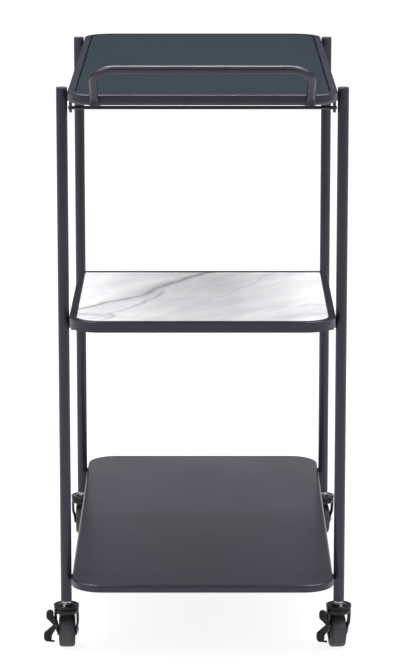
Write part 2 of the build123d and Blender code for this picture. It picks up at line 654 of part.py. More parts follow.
for name, caster in casters.items():
    braked = corners[name][3]

    # Both arms: the front view gives their step, the side view their outline
    with BuildPart() as arms:
        with BuildSketch(caster.before(0)):
            Polygon(
                (arm_inner, arm_top),
                (arm_outer, arm_top),
                (arm_outer, step_start),
                (foot_outer, step_end),
                (foot_outer, foot_height),
                (foot_inner, foot_height),
                (foot_inner, step_end),
                (arm_inner, step_start),
                align=None,
            )
            mirror(about=Plane.YZ)
        extrude(amount=caster_trail + wheel_diameter, both=True)
        with BuildSketch(caster.beside(0)):
            with BuildLine():
                CenterArc((caster_trail, wheel_radius), arm_foot_radius, 0, 360)
                Line((-arm_reach, arm_top), (arm_reach, arm_top))
            make_hull()
        extrude(amount=2 * arm_outer, both=True, mode=Mode.INTERSECT)

    with BuildPart() as fork:
        with BuildSketch(caster.level(crown_bottom)):
            Circle(crown_radius)
        extrude(amount=crown_height)
        fillet(fork.edges().group_by(Axis.Z)[0], crown_edge_radius)
        with BuildSketch(caster.level(crown_bottom)):
            Circle(arm_inner)
        extrude(amount=crown_height - crown_plate, mode=Mode.SUBTRACT)
        add(arms.part)
        if braked:
            with BuildSketch(caster.before(side_play - lever_back)):
                with Locations((pivot_x, pivot_z)):
                    Rectangle(lug_width, lug_height)
            extrude(amount=-lug_depth)
            with BuildSketch(caster.before(side_play - lever_back)):
                with Locations((pivot_x, pivot_z)):
                    Circle(lever_pin_diameter / 2 + fit)
            extrude(amount=-lug_depth, mode=Mode.SUBTRACT)
        with BuildSketch(caster.beside(-arm_outer)):
            with Locations((caster_trail, wheel_radius)):
                Circle(axle_diameter / 2 + fit)
        extrude(amount=2 * arm_outer, mode=Mode.SUBTRACT)
        with BuildSketch(caster.level(crown_bottom)):
            Circle(stem_diameter / 2 + running_fit)
        extrude(amount=crown_height, mode=Mode.SUBTRACT)
        with BuildSketch(caster.beside(0)):
            with Locations((ball_pitch_radius, ball_height)):
                Circle(ball_diameter / 2 + ball_clearance)
        revolve(axis=caster.swivel_axis, mode=Mode.SUBTRACT)
    save(fork, f"fork_{name}")

    with BuildPart() as bearing_balls:
        with Locations(caster.level(ball_height)):
            with PolarLocations(ball_pitch_radius, ball_count):
                Sphere(ball_diameter / 2)
    save(bearing_balls, f"bearing_balls_{name}")

    # Axle: a bolt with a low head on the left and a thin nut on the right
    with BuildPart() as axle_bolt:
        with BuildSketch(caster.beside(-foot_outer)):
            with Locations((caster_trail, wheel_radius)):
                Circle(axle_head_radius)
        extrude(amount=-axle_head_height, taper=axle_head_taper)
        with BuildSketch(caster.beside(-foot_outer)):
            with Locations((caster_trail, wheel_radius)):
                Circle(axle_diameter / 2)
        extrude(amount=2 * foot_outer + axle_nut_height)
    save(axle_bolt, f"axle_bolt_{name}")

    with BuildPart() as axle_nut:
        with BuildSketch(caster.beside(foot_outer)):
            with Locations((caster_trail, wheel_radius)):
                RegularPolygon(axle_nut_flats / 2, 6, major_radius=False)
                Circle(axle_diameter / 2 + fit, mode=Mode.SUBTRACT)
        extrude(amount=axle_nut_height)
    save(axle_nut, f"axle_nut_{name}")

    # Wheel: a hub with a boss, a web and a rim, and the tyre bonded round it
    hub_bore = axle_diameter / 2 + running_fit
    rim_radius = wheel_radius - tyre_thickness
    with BuildPart() as wheel_hub:
        with BuildSketch(caster.before(caster_trail)):
            with Locations((0, wheel_radius + (hub_bore + rim_radius) / 2)):
                Rectangle(hub_web_width, rim_radius - hub_bore)
            with Locations((0, wheel_radius + (hub_bore + hub_boss_radius) / 2)):
                Rectangle(2 * (foot_inner - side_play), hub_boss_radius - hub_bore)
            with Locations((0, wheel_radius + rim_radius - hub_rim_thickness / 2)):
                Rectangle(wheel_width - 2 * hub_rim_step, hub_rim_thickness)
        revolve(axis=caster.axle_axis)
    save(wheel_hub, f"wheel_hub_{name}")

    with BuildPart() as tyre:
        with BuildSketch(caster.before(caster_trail)) as tyre_section:
            with Locations((0, wheel_radius + rim_radius + tyre_thickness / 2)):
                Rectangle(wheel_width, tyre_thickness)
            fillet(tyre_section.vertices().group_by(Axis.Y)[-1], tread_edge_radius)
        revolve(axis=caster.axle_axis)
    save(tyre, f"tyre_{name}")

    if braked:
        # Brake lever: a rocker with two rounded pads, a shoe beside the wheel and a hooked lip
        with BuildPart() as brake_lever:
            for pad_x, pad_z, pad_radius, neck_z in (
                (upper_x, upper_z, upper_pad_radius, upper_z - pad_stretch / 2),
                (lower_x, lower_z, lower_pad_radius, lower_z + pad_stretch / 2),
            ):
                with BuildSketch(caster.before(-lever_back)):
                    with Locations((pivot_x, pivot_z)):
                        Circle(eye_radius)
                    with Locations((pad_x, neck_z)):
                        Circle(pad_radius)
                    make_hull()
                    with Locations((pad_x, pad_z)):
                        SlotCenterToCenter(pad_stretch, 2 * pad_radius, rotation=90)
                extrude(amount=lever_thickness)
            with BuildSketch(caster.before(-lever_back)):
                Polygon(
                    (pivot_x, pivot_z + shoe_rise),
                    (pivot_x + shoe_reach, pivot_z + shoe_rise),
                    (pivot_x + shoe_reach - shoe_rake, pivot_z - shoe_drop),
                    (pivot_x, pivot_z - shoe_drop),
                    align=None,
                )
                with Locations((lower_x + hook_reach / 2, hook_z)):
                    Rectangle(hook_reach, hook_thickness, rotation=-hook_tilt)
            extrude(amount=lever_thickness)
            with BuildSketch(caster.before(-lever_back)):
                with Locations((pivot_x, pivot_z)):
                    Circle(lever_pin_diameter / 2 + running_fit)
            extrude(amount=lever_thickness, mode=Mode.SUBTRACT)
        save(brake_lever, f"brake_lever_{name}")

        pin_length = lug_depth + lever_thickness + 2 * side_play
        with BuildPart() as brake_pin:
            with BuildSketch(caster.before(side_play - lever_back + lug_depth)):
                with Locations((pivot_x, pivot_z)):
                    Circle(lever_pin_diameter / 2)
            extrude(amount=pin_length)
            with BuildSketch(caster.before(-lever_back - lever_thickness - side_play)):
                with Locations((pivot_x, pivot_z)):
                    Circle(lever_pin_head_radius)
            extrude(amount=lever_pin_head_height)
        save(brake_pin, f"brake_pin_{name}")
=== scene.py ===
# %% [markdown]
# A narrow bar cart on four casters
#
# The cart has round-tube legs in a satin charcoal powder coat, a pressed top tray with a dark
# glass plate, a half-length shelf with a marble slab, a full-length bottom shelf and a bent push
# handle at the near end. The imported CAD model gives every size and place, so this script loads
# it first and dresses it: finishes for its pieces, and finer meshes where a moulded, turned or
# cast shape needs more than the plain solid.

import json
import math

import bmesh
import bpy
from mathutils import Matrix, Vector
from mathutils.geometry import convex_hull_2d


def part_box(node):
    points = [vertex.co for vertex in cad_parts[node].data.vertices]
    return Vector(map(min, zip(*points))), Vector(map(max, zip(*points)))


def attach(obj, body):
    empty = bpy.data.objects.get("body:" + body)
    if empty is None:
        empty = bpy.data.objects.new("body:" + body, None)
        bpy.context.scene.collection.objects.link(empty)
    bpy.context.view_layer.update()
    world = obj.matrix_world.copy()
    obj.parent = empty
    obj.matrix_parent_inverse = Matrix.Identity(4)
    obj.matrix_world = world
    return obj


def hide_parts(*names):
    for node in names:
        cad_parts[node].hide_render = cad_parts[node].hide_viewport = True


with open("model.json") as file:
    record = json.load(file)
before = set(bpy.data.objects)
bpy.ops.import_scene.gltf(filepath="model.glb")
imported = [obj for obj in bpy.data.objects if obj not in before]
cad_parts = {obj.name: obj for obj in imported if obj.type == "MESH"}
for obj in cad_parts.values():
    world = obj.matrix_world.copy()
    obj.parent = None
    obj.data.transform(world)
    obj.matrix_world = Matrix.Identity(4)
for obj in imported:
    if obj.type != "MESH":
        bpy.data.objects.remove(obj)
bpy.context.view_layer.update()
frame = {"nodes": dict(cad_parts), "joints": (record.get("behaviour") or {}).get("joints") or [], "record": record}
nodes = frame["nodes"]
joints = {joint["name"]: joint for joint in frame["joints"]}

MM = 0.001
CORNER_NAMES = ("front_left", "front_right", "rear_left", "rear_right")


# %% [markdown]
# Small helpers for meshes
#
# Every finer piece here is a row of rings of vertices with faces between them: a profile turned
# about an axis, an outline pushed through a thickness, a stack of sections, or a bead laid along
# a path. A bmesh holds the faces while they are made, and one helper turns it into an object
# that rides on its body, with the material slot that a shop could repaint and that slot's finish.

# %% Turn a bmesh into a piece
def place_piece(bm, name, body, slot, smooth_angle):
    bmesh.ops.remove_doubles(bm, verts=bm.verts, dist=1e-6)
    bmesh.ops.recalc_face_normals(bm, faces=bm.faces)
    mesh = bpy.data.meshes.new(name)
    bm.to_mesh(mesh)
    bm.free()
    mesh.materials.append(FINISH_OF_SLOT[slot])
    mesh.shade_smooth()
    mesh.set_sharp_from_angle(angle=math.radians(smooth_angle))
    piece = bpy.data.objects.new(name, mesh)
    bpy.context.scene.collection.objects.link(piece)
    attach(piece, body)
    print("piece", name, "faces", len(mesh.polygons))
    return piece


# %% Join rings of vertices
def join_rings(bm, rings, closed=True):
    """Faces between each ring and the next. An open ring has none back to its own start."""
    for here, after in zip(rings, rings[1:]):
        count = len(here)
        for i in range(count if closed else count - 1):
            j = (i + 1) % count
            bm.faces.new((here[i], here[j], after[j], after[i]))


def close_ends(bm, rings):
    bm.faces.new(rings[0])
    bm.faces.new(reversed(rings[-1]))


def turned(matrix, along, radius, angle):
    """A point of a turned shape. The axis is the matrix's own x."""
    return matrix @ Vector((along, radius * math.sin(angle), radius * math.cos(angle)))


# %% Turn a profile about an axis
def turn_profile(bm, profile, matrix, segments, closed=True):
    """profile: points of (along the axis, radius). An open one starts and ends on the axis."""
    rings = []
    for step in range(segments):
        angle = 2 * math.pi * step / segments
        rings.append([
            bm.verts.new(turned(matrix, along, radius, angle)) for along, radius in profile
        ])
    join_rings(bm, rings + rings[:1], closed)


# %% Round the corners of a profile
SIDE_DIVIDER = 2.01           # just over two, so that the arcs at both ends of a side don't meet
SHORTEST_CUT = 1e-7


def rounded(points, radii, steps=4):
    """Closed 2-D loop with each corner rounded to its own radius, as short arcs."""
    loop = []
    count = len(points)
    for i in range(count):
        corner = Vector(points[i])
        radius = radii[i] if isinstance(radii, (list, tuple)) else radii
        to_back = Vector(points[i - 1]) - corner
        to_next = Vector(points[(i + 1) % count]) - corner
        half = to_back.angle(to_next) / 2
        shorter = min(to_back.length, to_next.length)
        cut = min(radius / math.tan(half), shorter / SIDE_DIVIDER)
        if radius <= 0 or cut < SHORTEST_CUT:
            loop.append(tuple(corner))
            continue
        start = corner + to_back.normalized() * cut
        end = corner + to_next.normalized() * cut
        for step in range(steps + 1):
            t = step / steps
            point = start * (1 - t) ** 2 + corner * 2 * t * (1 - t) + end * t ** 2
            loop.append(tuple(point))
    return loop


# %% Push an outline through a thickness with a soft edge
def soft_prism(bm, outline, matrix, low, high, edge, steps=3):
    """outline: closed loop of (x, z) in the matrix's frame. The thickness runs along its y."""
    count = len(outline)
    loops = []
    inward = []
    for i in range(count):
        before = Vector(outline[i - 1])
        here = Vector(outline[i])
        after = Vector(outline[(i + 1) % count])
        tangent = (after - before).normalized()
        inward.append(Vector((-tangent.y, tangent.x)))
    twice_area = sum(
        outline[i - 1][0] * outline[i][1] - outline[i][0] * outline[i - 1][1] for i in range(count)
    )
    sign = math.copysign(1.0, twice_area)
    for end, direction in ((low, 1.0), (high, -1.0)):
        order = range(steps + 1) if direction > 0 else range(steps, -1, -1)
        for step in order:
            angle = math.pi / 2 * step / steps
            inset = edge * (1 - math.sin(angle))
            depth = end + direction * edge * (1 - math.cos(angle))
            ring = []
            for i in range(count):
                point = Vector(outline[i]) + inward[i] * inset * sign
                ring.append(bm.verts.new(matrix @ Vector((point.x, depth, point.y))))
            loops.append(ring)
    join_rings(bm, loops)
    close_ends(bm, loops)


# %% Outline round a set of points
def hull_outline(points):
    return [points[i] for i in convex_hull_2d([Vector(point) for point in points])]


def circle_points(x, z, radius, count=28):
    turns = [2 * math.pi * i / count for i in range(count)]
    return [(x + radius * math.cos(turn), z + radius * math.sin(turn)) for turn in turns]


# %% A hexagon nut with chamfered faces
NUT_FACE_SHARE = 0.97         # radius of the round face, as a share of half the nut's flats
NUT_CHAMFER = math.tan(math.radians(28))
NUT_SECTOR = math.pi / 3


def chamfered_nut(bm, matrix, low, high, flats, bore, segments=72):
    """The axis is the matrix's own x. A cone cuts both faces, which draws an arc on each flat."""
    face_radius = flats / 2 * NUT_FACE_SHARE
    rings = []
    for step in range(segments):
        angle = 2 * math.pi * step / segments
        from_flat = (angle + NUT_SECTOR / 2) % NUT_SECTOR - NUT_SECTOR / 2
        corner = flats / 2 / math.cos(from_flat)
        cut = (corner - face_radius) * NUT_CHAMFER
        profile = ((low, bore), (low, face_radius), (low + cut, corner),
                   (high - cut, corner), (high, face_radius), (high, bore))
        rings.append([
            bm.verts.new(turned(matrix, along, radius, angle)) for along, radius in profile
        ])
    join_rings(bm, rings + rings[:1])


# %% Lay a bead along a path
BEAD_END_SHARE = 0.35


def lay_bead(bm, points, radius, sides=8):
    """A thin tube along points, which narrows at both ends."""
    rings = []
    last = len(points) - 1
    for i, point in enumerate(points):
        ahead = points[min(i + 1, last)] - points[max(i - 1, 0)]
        across = ahead.orthogonal().normalized()
        up = ahead.cross(across).normalized()
        reach = radius * BEAD_END_SHARE if i in (0, last) else radius
        ring = []
        for side in range(sides):
            angle = 2 * math.pi * side / sides
            outward = across * math.cos(angle) + up * math.sin(angle)
            ring.append(bm.verts.new(point + outward * reach))
        rings.append(ring)
    join_rings(bm, rings)
    close_ends(bm, rings)


# %% [markdown]
# Camera
#
# The photograph was taken from the handle's end, with a long lens a little above the cart. A
# lens this long could be imitated by an orthographic camera, but the shelves' sides still close
# up towards the far end, so it is a perspective camera. Its place was worked out from the widths
# of the front and rear legs, and its tilt from the heights of the shelves.

# %% Camera
PHOTO_WIDTH = 408
PHOTO_HEIGHT = 666
FOCAL_PIXELS = 3100.0
TILT_PIXELS = 658.0           # horizon above the photograph's middle
SENSOR = 36.0
leg_low, leg_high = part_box("leg_front_left")
front_leg_y = (leg_low.y + leg_high.y) / 2
CAMERA_BACK = 4.33            # in front of the front legs
CAMERA_HEIGHT = 1.3915
CAMERA_SIDE = 0.0021

camera_data = bpy.data.cameras.new("photo_camera")
camera_data.sensor_fit = "VERTICAL"
camera_data.sensor_height = SENSOR
camera_data.lens = FOCAL_PIXELS / PHOTO_HEIGHT * SENSOR
camera_data.clip_start = 0.1
camera_data.clip_end = 100.0
camera = bpy.data.objects.new("photo_camera", camera_data)
camera.location = (CAMERA_SIDE, front_leg_y - CAMERA_BACK, CAMERA_HEIGHT)
camera.rotation_euler = (math.pi / 2 - math.atan(TILT_PIXELS / FOCAL_PIXELS), 0.0, 0.0)
bpy.context.scene.collection.objects.link(camera)
bpy.context.scene.camera = camera
print("lens", round(camera_data.lens, 2), "mm at", tuple(round(v, 3) for v in camera.location))


# %% [markdown]
# Floor, world and lamps
#
# The cart stands on a pale studio floor. The floor is a plain pale paint, and for rays from the
# camera, from gloss and through glass it also glows, so that it reads as white without more light
# on the cart. The glow is a little weaker near the cart, where the wheels keep a faint shadow,
# and fades to plain white farther off, as a paper backdrop does. The camera sees the world as
# plain white too. For all other rays the world is dark grey near the horizon and paler above,
# which gives the coated tubes dark sides and the flat sheets a soft sheen. Two large soft lamps
# stand high at the left and the right and light the marble under the tray. A narrow lamp overhead
# draws the bright line along the push bar.

# %% Helpers for node trees
def math_node(tree, operation, first, second=None, clamp=False):
    node = tree.nodes.new("ShaderNodeMath")
    node.operation = operation
    node.use_clamp = clamp
    for socket, value in zip(node.inputs, (first, second)):
        if value is None:
            continue
        if isinstance(value, (int, float)):
            socket.default_value = value
        else:
            tree.links.new(value, socket)
    return node.outputs[0]


def vector_node(tree, operation, *values):
    node = tree.nodes.new("ShaderNodeVectorMath")
    node.operation = operation
    for socket, value in zip(node.inputs, values):
        if isinstance(value, tuple):
            socket.default_value = value
        else:
            tree.links.new(value, socket)
    return node


def spread_value(tree, value, low, high, start=0.0, end=1.0, interpolation="LINEAR"):
    """Turn the range from start to end into the range from low to high."""
    node = tree.nodes.new("ShaderNodeMapRange")
    node.interpolation_type = interpolation
    for label, level in (("From Min", start), ("From Max", end), ("To Min", low), ("To Max", high)):
        node.inputs[label].default_value = level
    tree.links.new(value, node.inputs["Value"])
    return node.outputs[0]


# %% Studio view settings
bpy.context.scene.view_settings.view_transform = "Standard"
print("view transform", bpy.context.scene.view_settings.view_transform)


# %% World
WHITE = (1.0, 1.0, 1.0, 1.0)
HORIZON_LIGHT = 0.1
OVERHEAD_LIGHT = 0.6
CLIMB_START = 0.13
CLIMB_END = 0.5

world = bpy.data.worlds.new("studio_air")
bpy.context.scene.world = world
world.use_nodes = True
air = world.node_tree
air_light = air.nodes["Background"]
air_light.inputs["Color"].default_value = WHITE
direction = air.nodes.new("ShaderNodeTexCoord")
height_of = air.nodes.new("ShaderNodeSeparateXYZ")
air.links.new(direction.outputs["Generated"], height_of.inputs[0])
climb = spread_value(
    air, height_of.outputs["Z"], HORIZON_LIGHT, OVERHEAD_LIGHT, CLIMB_START, CLIMB_END, "SMOOTHSTEP"
)
air_rays = air.nodes.new("ShaderNodeLightPath")
air_strength = math_node(air, "MAXIMUM", climb, air_rays.outputs["Is Camera Ray"])
air.links.new(air_strength, air_light.inputs["Strength"])
print("world light from", HORIZON_LIGHT, "to", OVERHEAD_LIGHT)


# %% A flat stage piece with a material of its own
def stage_plane(name, corners):
    mesh = bpy.data.meshes.new(name)
    mesh.from_pydata(corners, [], [(0, 1, 2, 3)])
    plane = bpy.data.objects.new(name, mesh)
    bpy.context.scene.collection.objects.link(plane)
    material = bpy.data.materials.new(name)
    material.use_nodes = True
    material.node_tree.nodes.clear()
    mesh.materials.append(material)
    return plane, material.node_tree


# %% Floor
FLOOR_HALF = 9.0
FLOOR_BOUNCE = (0.78, 0.78, 0.78, 1.0)
FLOOR_PAINT = (0.16, 0.16, 0.16, 1.0)
GLOW_NEAR = 0.9
GLOW_FAR = 1.0
FADE_START = 0.6
FADE_END = 2.4

floor, tree = stage_plane("studio_floor", [
    (-FLOOR_HALF, -FLOOR_HALF, 0), (FLOOR_HALF, -FLOOR_HALF, 0),
    (FLOOR_HALF, FLOOR_HALF, 0), (-FLOOR_HALF, FLOOR_HALF, 0),
])
seen = tree.nodes.new("ShaderNodeLightPath").outputs
camera_or_gloss = math_node(tree, "ADD", seen["Is Camera Ray"], seen["Is Glossy Ray"])
seen_white = math_node(tree, "ADD", camera_or_gloss, seen["Is Transmission Ray"], clamp=True)
bounce = tree.nodes.new("ShaderNodeBsdfDiffuse")
bounce.inputs["Color"].default_value = FLOOR_BOUNCE
paint = tree.nodes.new("ShaderNodeBsdfDiffuse")
paint.inputs["Color"].default_value = FLOOR_PAINT
glow = tree.nodes.new("ShaderNodeEmission")
glow.inputs["Color"].default_value = WHITE
floor_place = tree.nodes.new("ShaderNodeTexCoord")
from_cart = vector_node(tree, "LENGTH", floor_place.outputs["Object"]).outputs["Value"]
fade = spread_value(tree, from_cart, GLOW_NEAR, GLOW_FAR, FADE_START, FADE_END)
tree.links.new(fade, glow.inputs["Strength"])
lit = tree.nodes.new("ShaderNodeAddShader")
tree.links.new(paint.outputs[0], lit.inputs[0])
tree.links.new(glow.outputs[0], lit.inputs[1])
choose = tree.nodes.new("ShaderNodeMixShader")
tree.links.new(seen_white, choose.inputs[0])
tree.links.new(bounce.outputs[0], choose.inputs[1])
tree.links.new(lit.outputs[0], choose.inputs[2])
output = tree.nodes.new("ShaderNodeOutputMaterial")
tree.links.new(choose.outputs[0], output.inputs["Surface"])
print("floor", 2 * FLOOR_HALF, "m wide")


# %% Soft lamps
def soft_lamp(name, place, target, width, height, level):
    """A rectangular lamp facing a target, whose face is as bright as level, where 1 is white."""
    data = bpy.data.lights.new(name, "AREA")
    data.shape = "RECTANGLE"
    data.size = width
    data.size_y = height
    data.energy = level * math.pi * width * height
    lamp = bpy.data.objects.new(name, data)
    lamp.location = place
    lamp.rotation_euler = (Vector(target) - Vector(place)).to_track_quat("-Z", "Y").to_euler()
    bpy.context.scene.collection.objects.link(lamp)
    print("lamp", name, "energy", round(data.energy, 1))


CART_MIDDLE = (0.0, 0.0, 0.45)
SIDE_LAMP_LEVEL = 3.1
OVERHEAD_LEVEL = 56.0
soft_lamp("lamp_above", (0.0, -0.02, 2.6), (0.0, -0.02, 0.4), 2.8, 0.22, OVERHEAD_LEVEL)
for name, side in (("lamp_left", -1.8), ("lamp_right", 1.8)):
    soft_lamp(name, (side, -0.9, 2.15), CART_MIDDLE, 2.4, 1.8, SIDE_LAMP_LEVEL)


# %% [markdown]
# Reflector card
#
# A flat sheet that lies facing a dim room looks flat and black. A photographer stands a card behind it,
# and the sheet then mirrors the card at its far end and darkens towards the camera. The card here is no
# lamp but a panel that glows by its own emission, white below and nearly black above. Only glossy rays
# meet it, so it is a painted reflection: it lights nothing else and casts no shadow.

# %% Glowing card behind the cart, seen only in reflections
CARD_HALF = 2.4
CARD_FOOT = 0.02
CARD_TOP = 2.3
CARD_PLACE = 2.0
CARD_GLOW_TONES = (
    # height and colour
    (0.45, (1.0, 0.96, 1.0, 1.0)),
    (0.72, (0.063, 0.07, 0.082, 1.0)),
)

card, tree = stage_plane("rear_glow_card", [
    (-CARD_HALF, CARD_PLACE, CARD_FOOT), (CARD_HALF, CARD_PLACE, CARD_FOOT),
    (CARD_HALF, CARD_PLACE, CARD_TOP), (-CARD_HALF, CARD_PLACE, CARD_TOP),
])
card.visible_camera = False
card.visible_diffuse = False
card.visible_shadow = False
card.visible_transmission = False
card_place = tree.nodes.new("ShaderNodeTexCoord")
card_height = tree.nodes.new("ShaderNodeSeparateXYZ")
tree.links.new(card_place.outputs["Object"], card_height.inputs[0])
card_glow_tone = tree.nodes.new("ShaderNodeValToRGB")
for stop, (position, colour) in zip(card_glow_tone.color_ramp.elements, CARD_GLOW_TONES):
    stop.position = position
    stop.color = colour
tree.links.new(card_height.outputs["Z"], card_glow_tone.inputs[0])
# The card glows by its own emission, white below and nearly black above: a painted reflection for glossy surfaces,
# not a lamp.
shine = tree.nodes.new("ShaderNodeEmission")
tree.links.new(card_glow_tone.outputs["Color"], shine.inputs["Color"])
output = tree.nodes.new("ShaderNodeOutputMaterial")
tree.links.new(shine.outputs[0], output.inputs["Surface"])
print("card", 2 * CARD_HALF, "m wide and", CARD_TOP, "m high")


# %% [markdown]
# Shared surface effects
#
# Powder coat, moulded plastic, rubber and stone all owe their look to small unevenness: a coat
# melts into a fine orange peel, a moulded part has a spark-eroded grain, and every surface has
# slow changes of tone. Image textures would need unwrapped meshes, so each effect is a noise in
# the object's own space, built once as a node group. The groups give heights and masks, and each
# material decides what to do with them.

# %% Start a node group
def new_group(name, inputs, outputs):
    group = bpy.data.node_groups.new(name, "ShaderNodeTree")
    for label, kind, value in inputs:
        item = group.interface.new_socket(name=label, in_out="INPUT", socket_type=kind)
        if value is not None:
            item.default_value = value
    for label, kind in outputs:
        group.interface.new_socket(name=label, in_out="OUTPUT", socket_type=kind)
    start = group.nodes.new("NodeGroupInput")
    end = group.nodes.new("NodeGroupOutput")
    print("node group", name)
    return group, start, end


# %% Fine grain: two sizes of bumps in one height
grain_group, start, end = new_group(
    "fine_grain",
    [("Vector", "NodeSocketVector", None), ("Peel Scale", "NodeSocketFloat", 500.0),
     ("Grain Scale", "NodeSocketFloat", 2200.0), ("Grain Share", "NodeSocketFloat", 0.35)],
    [("Height", "NodeSocketFloat")],
)
peel = grain_group.nodes.new("ShaderNodeTexNoise")
peel.inputs["Detail"].default_value = 1.0
grain = grain_group.nodes.new("ShaderNodeTexNoise")
grain.inputs["Detail"].default_value = 2.0
for texture, scale in ((peel, "Peel Scale"), (grain, "Grain Scale")):
    grain_group.links.new(start.outputs["Vector"], texture.inputs["Vector"])
    grain_group.links.new(start.outputs[scale], texture.inputs["Scale"])
fine_part = math_node(grain_group, "MULTIPLY", grain.outputs["Fac"], start.outputs["Grain Share"])
height = math_node(grain_group, "ADD", peel.outputs["Fac"], fine_part)
grain_group.links.new(height, end.inputs["Height"])


# %% Slow tone: a soft mask for patches some centimetres wide
tone_group, start, end = new_group(
    "slow_tone",
    [("Vector", "NodeSocketVector", None), ("Scale", "NodeSocketFloat", 8.0),
     ("Contrast", "NodeSocketFloat", 0.5)],
    [("Mask", "NodeSocketFloat")],
)
patches = tone_group.nodes.new("ShaderNodeTexNoise")
patches.inputs["Detail"].default_value = 3.0
patches.inputs["Roughness"].default_value = 0.55
tone_group.links.new(start.outputs["Vector"], patches.inputs["Vector"])
tone_group.links.new(start.outputs["Scale"], patches.inputs["Scale"])
centred = math_node(tone_group, "SUBTRACT", patches.outputs["Fac"], 0.5)
spread = math_node(tone_group, "MULTIPLY", centred, start.outputs["Contrast"])
mask = math_node(tone_group, "ADD", spread, 0.5, clamp=True)
tone_group.links.new(mask, end.inputs["Mask"])


# %% [markdown]
# Base for every finish
#
# Each finish starts from the Principled shader with its constants set on its own sockets. Two
# helpers add the shared effects: one spreads two colours and two roughnesses by a mask, and one
# feeds the grain's height through a Bump node.

# %% Finish helpers
def new_finish(name, colour, roughness, metallic=0.0):
    material = bpy.data.materials.new(name)
    material.use_nodes = True
    shader = material.node_tree.nodes["Principled BSDF"]
    shader.inputs["Base Color"].default_value = (*colour, 1.0)
    shader.inputs["Roughness"].default_value = roughness
    shader.inputs["Metallic"].default_value = metallic
    place = material.node_tree.nodes.new("ShaderNodeTexCoord")
    return material, material.node_tree, shader, place.outputs["Object"]


def use_group(tree, group, **values):
    node = tree.nodes.new("ShaderNodeGroup")
    node.node_tree = group
    for label, value in values.items():
        socket = node.inputs[label.replace("_", " ")]
        if isinstance(value, (int, float)):
            socket.default_value = value
        else:
            tree.links.new(value, socket)
    return node


def mix_colour(tree, factor, first, second):
    node = tree.nodes.new("ShaderNodeMix")
    node.data_type = "RGBA"
    for label, value in (("Factor", factor), ("A", first), ("B", second)):
        socket = [s for s in node.inputs if s.name == label and s.enabled][0]
        if isinstance(value, tuple):
            socket.default_value = (*value, 1.0)
        else:
            tree.links.new(value, socket)
    return [s for s in node.outputs if s.enabled][0]


def vary_surface(tree, shader, tone, colours, roughness):
    """Spread two colours and two roughnesses over the surface by a mask."""
    tree.links.new(mix_colour(tree, tone, *colours), shader.inputs["Base Color"])
    tree.links.new(spread_value(tree, tone, *roughness), shader.inputs["Roughness"])


def add_grain(tree, shader, place, peel_scale, grain_scale, grain_share, depth, strength):
    grain = use_group(tree, grain_group, Vector=place, Peel_Scale=peel_scale,
                      Grain_Scale=grain_scale, Grain_Share=grain_share)
    bump = tree.nodes.new("ShaderNodeBump")
    bump.inputs["Distance"].default_value = depth
    bump.inputs["Strength"].default_value = strength
    tree.links.new(grain.outputs["Height"], bump.inputs["Height"])
    tree.links.new(bump.outputs["Normal"], shader.inputs["Normal"])


# %% [markdown]
# Satin powder coat
#
# All the sheet and tube of the frame is sprayed with one charcoal powder. The real coat is
# nearly black, a touch paler where it is thin, with a faint orange peel under a satin gloss. A
# car-paint shader would be too deep, so this is a plain dark dielectric with middle roughness.

# %% Satin powder coat
COAT_DARK = (0.014, 0.0135, 0.02)
COAT_LIGHT = (0.019, 0.018, 0.026)
COAT_ROUGHNESS = 0.32
COAT_UNEVENNESS = 0.05


def make_powder_coat():
    material, tree, shader, place = new_finish("satin_powder_coat", COAT_DARK, COAT_ROUGHNESS)
    tone = use_group(tree, tone_group, Vector=place, Scale=6.0, Contrast=1.6)
    vary_surface(
        tree, shader, tone.outputs["Mask"], (COAT_DARK, COAT_LIGHT),
        (COAT_ROUGHNESS - COAT_UNEVENNESS, COAT_ROUGHNESS + COAT_UNEVENNESS),
    )
    add_grain(tree, shader, place, 420.0, 2400.0, 0.25, depth=0.00012, strength=0.35)
    shader.inputs["Specular Tint"].default_value = (0.88, 0.86, 1.0, 1.0)
    shader.inputs["Specular IOR Level"].default_value = 0.45
    print("finish", material.name)
    return material


powder_coat = make_powder_coat()


# %% [markdown]
# Gloss and semi-gloss blacks of the casters
#
# The bearing caps and forks are dipped in a glossier black than the frame, the levers are
# moulded, and the hubs are a duller nylon. All of them are dark dielectrics that differ only in
# colour, gloss and grain, so one function makes them, and the small pads, plugs and screws too.

# %% Caster finishes
LIGHTER_SHARE = 1.35
LIGHTER_STEP = 0.001
SMOOTHER = 0.04
ROUGHER = 0.06


def make_moulded(name, colour, roughness, depth):
    """A plain dielectric whose moulded grain is as deep as depth, in metres."""
    material, tree, shader, place = new_finish(name, colour, roughness)
    tone = use_group(tree, tone_group, Vector=place, Scale=30.0, Contrast=1.2)
    lighter = tuple(min(1.0, channel * LIGHTER_SHARE + LIGHTER_STEP) for channel in colour)
    vary_surface(
        tree, shader, tone.outputs["Mask"], (colour, lighter),
        (roughness - SMOOTHER, roughness + ROUGHER),
    )
    add_grain(tree, shader, place, 900.0, 3200.0, 0.6, depth=depth, strength=0.5)
    shader.inputs["Specular IOR Level"].default_value = 0.32
    shader.inputs["Specular Tint"].default_value = (0.93, 0.92, 1.0, 1.0)
    print("finish", name)
    return material


caster_enamel = make_moulded("caster_enamel", (0.002, 0.002, 0.003), 0.16, 0.00002)
lever_plastic = make_moulded("lever_plastic", (0.003, 0.003, 0.004), 0.26, 0.00003)
hub_nylon = make_moulded("hub_nylon", (0.024, 0.024, 0.024), 0.5, 0.00006)
cap_plastic = make_moulded("cap_plastic", (0.03, 0.029, 0.032), 0.45, 0.00006)
socket_nylon = make_moulded("socket_nylon", (0.02, 0.02, 0.02), 0.6, 0.00006)
pad_rubber = make_moulded("pad_rubber", (0.02, 0.02, 0.02), 0.75, 0.00008)
clear_pad = make_moulded("clear_pad", (0.5, 0.5, 0.48), 0.35, 0.00003)
screw_black = make_moulded("screw_black", (0.018, 0.018, 0.018), 0.38, 0.00002)


